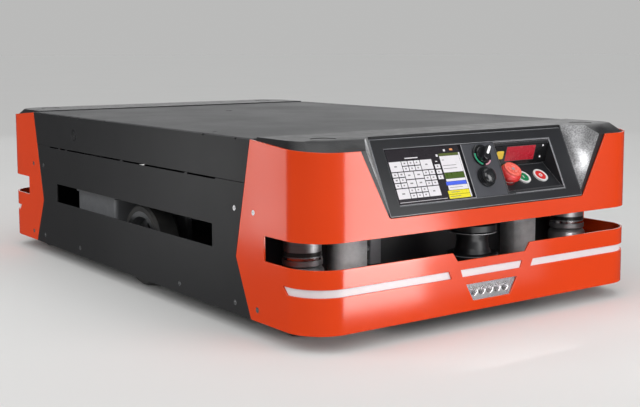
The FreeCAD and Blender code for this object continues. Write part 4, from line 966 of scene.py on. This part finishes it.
def makeFloor():
    def build(work):
        turns = [2 * math.pi * step / stageLook["rimSteps"] for step in range(stageLook["rimSteps"])]
        work.faces.new([work.verts.new((stageLook["radius"] * math.cos(turn),
                                        stageLook["radius"] * math.sin(turn), 0)) for turn in turns])

    floor = bpy.data.objects.new("studioFloor", meshFrom("studioFloor", build))
    bpy.context.scene.collection.objects.link(floor)
    floor.visible_glossy = False  # the coats mirror the softboxes, not the floor
    material, tree, shader = startMaterial("palePaper")
    patch = noiseNode(tree, objectSpace(tree), scale=1.3, detail=3)
    darker = tuple(part * 0.985 for part in stageLook["floor"])
    link(tree, mixColours(tree, spread(tree, patch, 0, 1), stageLook["floor"], darker),
         shader.inputs["Base Color"])
    shader.inputs["Roughness"].default_value = 0.8
    shader.inputs["Specular IOR Level"].default_value = 0.2
    floor.data.materials.append(material)


def makeWorld():
    # a faint glow on the robot, and a plain grey where the camera sees past the floor
    world = bpy.data.worlds.new("studioWorld")
    world.use_nodes = True
    bpy.context.scene.world = world
    tree = world.node_tree
    fill = tree.nodes["Background"]
    fill.inputs["Color"].default_value = (*stageLook["world"], 1)
    fill.inputs["Strength"].default_value = stageLook["worldGlow"]
    seen = tree.nodes.new("ShaderNodeBackground")
    seen.inputs["Color"].default_value = (*stageLook["worldSeen"], 1)
    path = tree.nodes.new("ShaderNodeLightPath")
    choose = tree.nodes.new("ShaderNodeMixShader")
    link(tree, path.outputs["Is Camera Ray"], choose.inputs[0])
    link(tree, fill.outputs[0], choose.inputs[1])
    link(tree, seen.outputs[0], choose.inputs[2])
    link(tree, choose.outputs[0], tree.nodes["World Output"].inputs["Surface"])


def makeCamera():
    data = bpy.data.cameras.new("studioCamera")
    camera = bpy.data.objects.new("studioCamera", data)
    bpy.context.scene.collection.objects.link(camera)
    back = -Vector(cameraLook["heading"]).normalized()
    right = Vector((0, 0, 1)).cross(back).normalized()
    up = back.cross(right)
    camera.matrix_world = basis(Vector(cameraLook["place"]), right, up, back) @ Matrix.Rotation(
        math.radians(cameraLook["roll"]), 4, "Z")
    data.sensor_width = 36
    data.lens = cameraLook["lens"]
    data.shift_y = cameraLook["shiftY"]
    data.clip_end = 150  # past the floor's edge
    bpy.context.scene.camera = camera


# rectangular lights; place and aim are points, size is (width, height), radiance is how bright
# the face looks; a gloss box is only mirrored, a matt one only lights
softboxes = {
    "topBox": {"place": (0.0, 0.2, 2.8), "aim": (0, 0, 0.3), "size": (2.6, 2.6), "radiance": 1.3,
               "lights": "gloss"},
    "backBox": {"place": (1.9, 2.8, 0.9), "aim": (0, 0, 0.2), "size": (3.6, 1.6), "radiance": 1.0,
                "lights": "gloss"},
    "frontStrip": {"place": (0.11, -1.05, 0.28), "aim": (0.11, 0, 0.28), "size": (0.30, 0.50),
                   "radiance": 5.8, "lights": "gloss"},
    "frontSoft": {"place": (0.55, -1.05, 0.28), "aim": (0.55, 0, 0.28), "size": (0.56, 0.50),
                  "radiance": 0.25, "lights": "gloss"},
    "lowStrip": {"place": (-0.10, -0.82, 0.057), "aim": (-0.10, 0, 0.057), "size": (0.22, 0.105),
                 "radiance": 7.5, "lights": "gloss"},
    "lowSoft": {"place": (0.17, -0.82, 0.057), "aim": (0.17, 0, 0.057), "size": (0.32, 0.105),
                "radiance": 1.0, "lights": "gloss"},
    "frontFill": {"place": (0.9, -2.6, 1.0), "aim": (0, -0.6, 0.2), "size": (1.8, 1.6), "radiance": 2.9,
                  "lights": "matt"},
    "slotGlow": {"place": (-0.235, -0.612, 0.150), "aim": (-0.235, -0.5, 0.150), "size": (0.16, 0.03),
                 "radiance": 2.2, "lights": "matt"},
    "sideStrip": {"place": (-0.80, 0.13, 0.22), "aim": (0, 0.13, 0.22), "size": (0.34, 0.40),
                  "radiance": 1.9, "lights": "gloss"},
    "leftFill": {"place": (-2.4, 0.6, 1.6), "aim": (-0.3, 0.1, 0.2), "size": (1.8, 1.6), "radiance": 2.2,
                 "lights": "matt"},
    "cheekBox": {"place": (-1.01, -1.99, 1.45), "aim": (0.24, -0.6, 0.28), "size": (1.4, 1.4),
                 "radiance": 3.0, "lights": "gloss"},
    "rimBox": {"place": (1.75, 0.65, 1.6), "aim": (0, -0.6, 0.27), "size": (0.8, 0.8), "radiance": 2.2,
               "lights": "gloss"},
}


def makeLights():
    sun = bpy.data.lights.new("skySoft", "SUN")  # lights the floor evenly as far as one can see
    sun.energy = stageLook["sun"]
    sun.angle = math.radians(stageLook["sunSpread"])
    sky = bpy.data.objects.new("skySoft", sun)
    bpy.context.scene.collection.objects.link(sky)
    sky.rotation_euler = Vector(stageLook["sunFrom"]).to_track_quat("Z", "Y").to_euler()
    sky.visible_glossy = False
    for name, box in softboxes.items():
        width, height = box["size"]
        data = bpy.data.lights.new(name, "AREA")
        data.shape = "RECTANGLE"
        data.size = width
        data.size_y = height
        data.energy = box["radiance"] * math.pi * width * height
        item = bpy.data.objects.new(name, data)
        bpy.context.scene.collection.objects.link(item)
        item.location = box["place"]
        back = Vector(box["place"]) - Vector(box["aim"])
        item.rotation_euler = back.to_track_quat("Z", "Y").to_euler()
        item.visible_camera = False
        item.visible_diffuse = box["lights"] == "matt"
        item.visible_glossy = box["lights"] == "gloss"


makeFloor()
makeWorld()
makeCamera()
makeLights()
bpy.context.scene.view_settings.view_transform = "Standard"  # keeps the coats' colours full
print("stage: floor, camera and lights set")
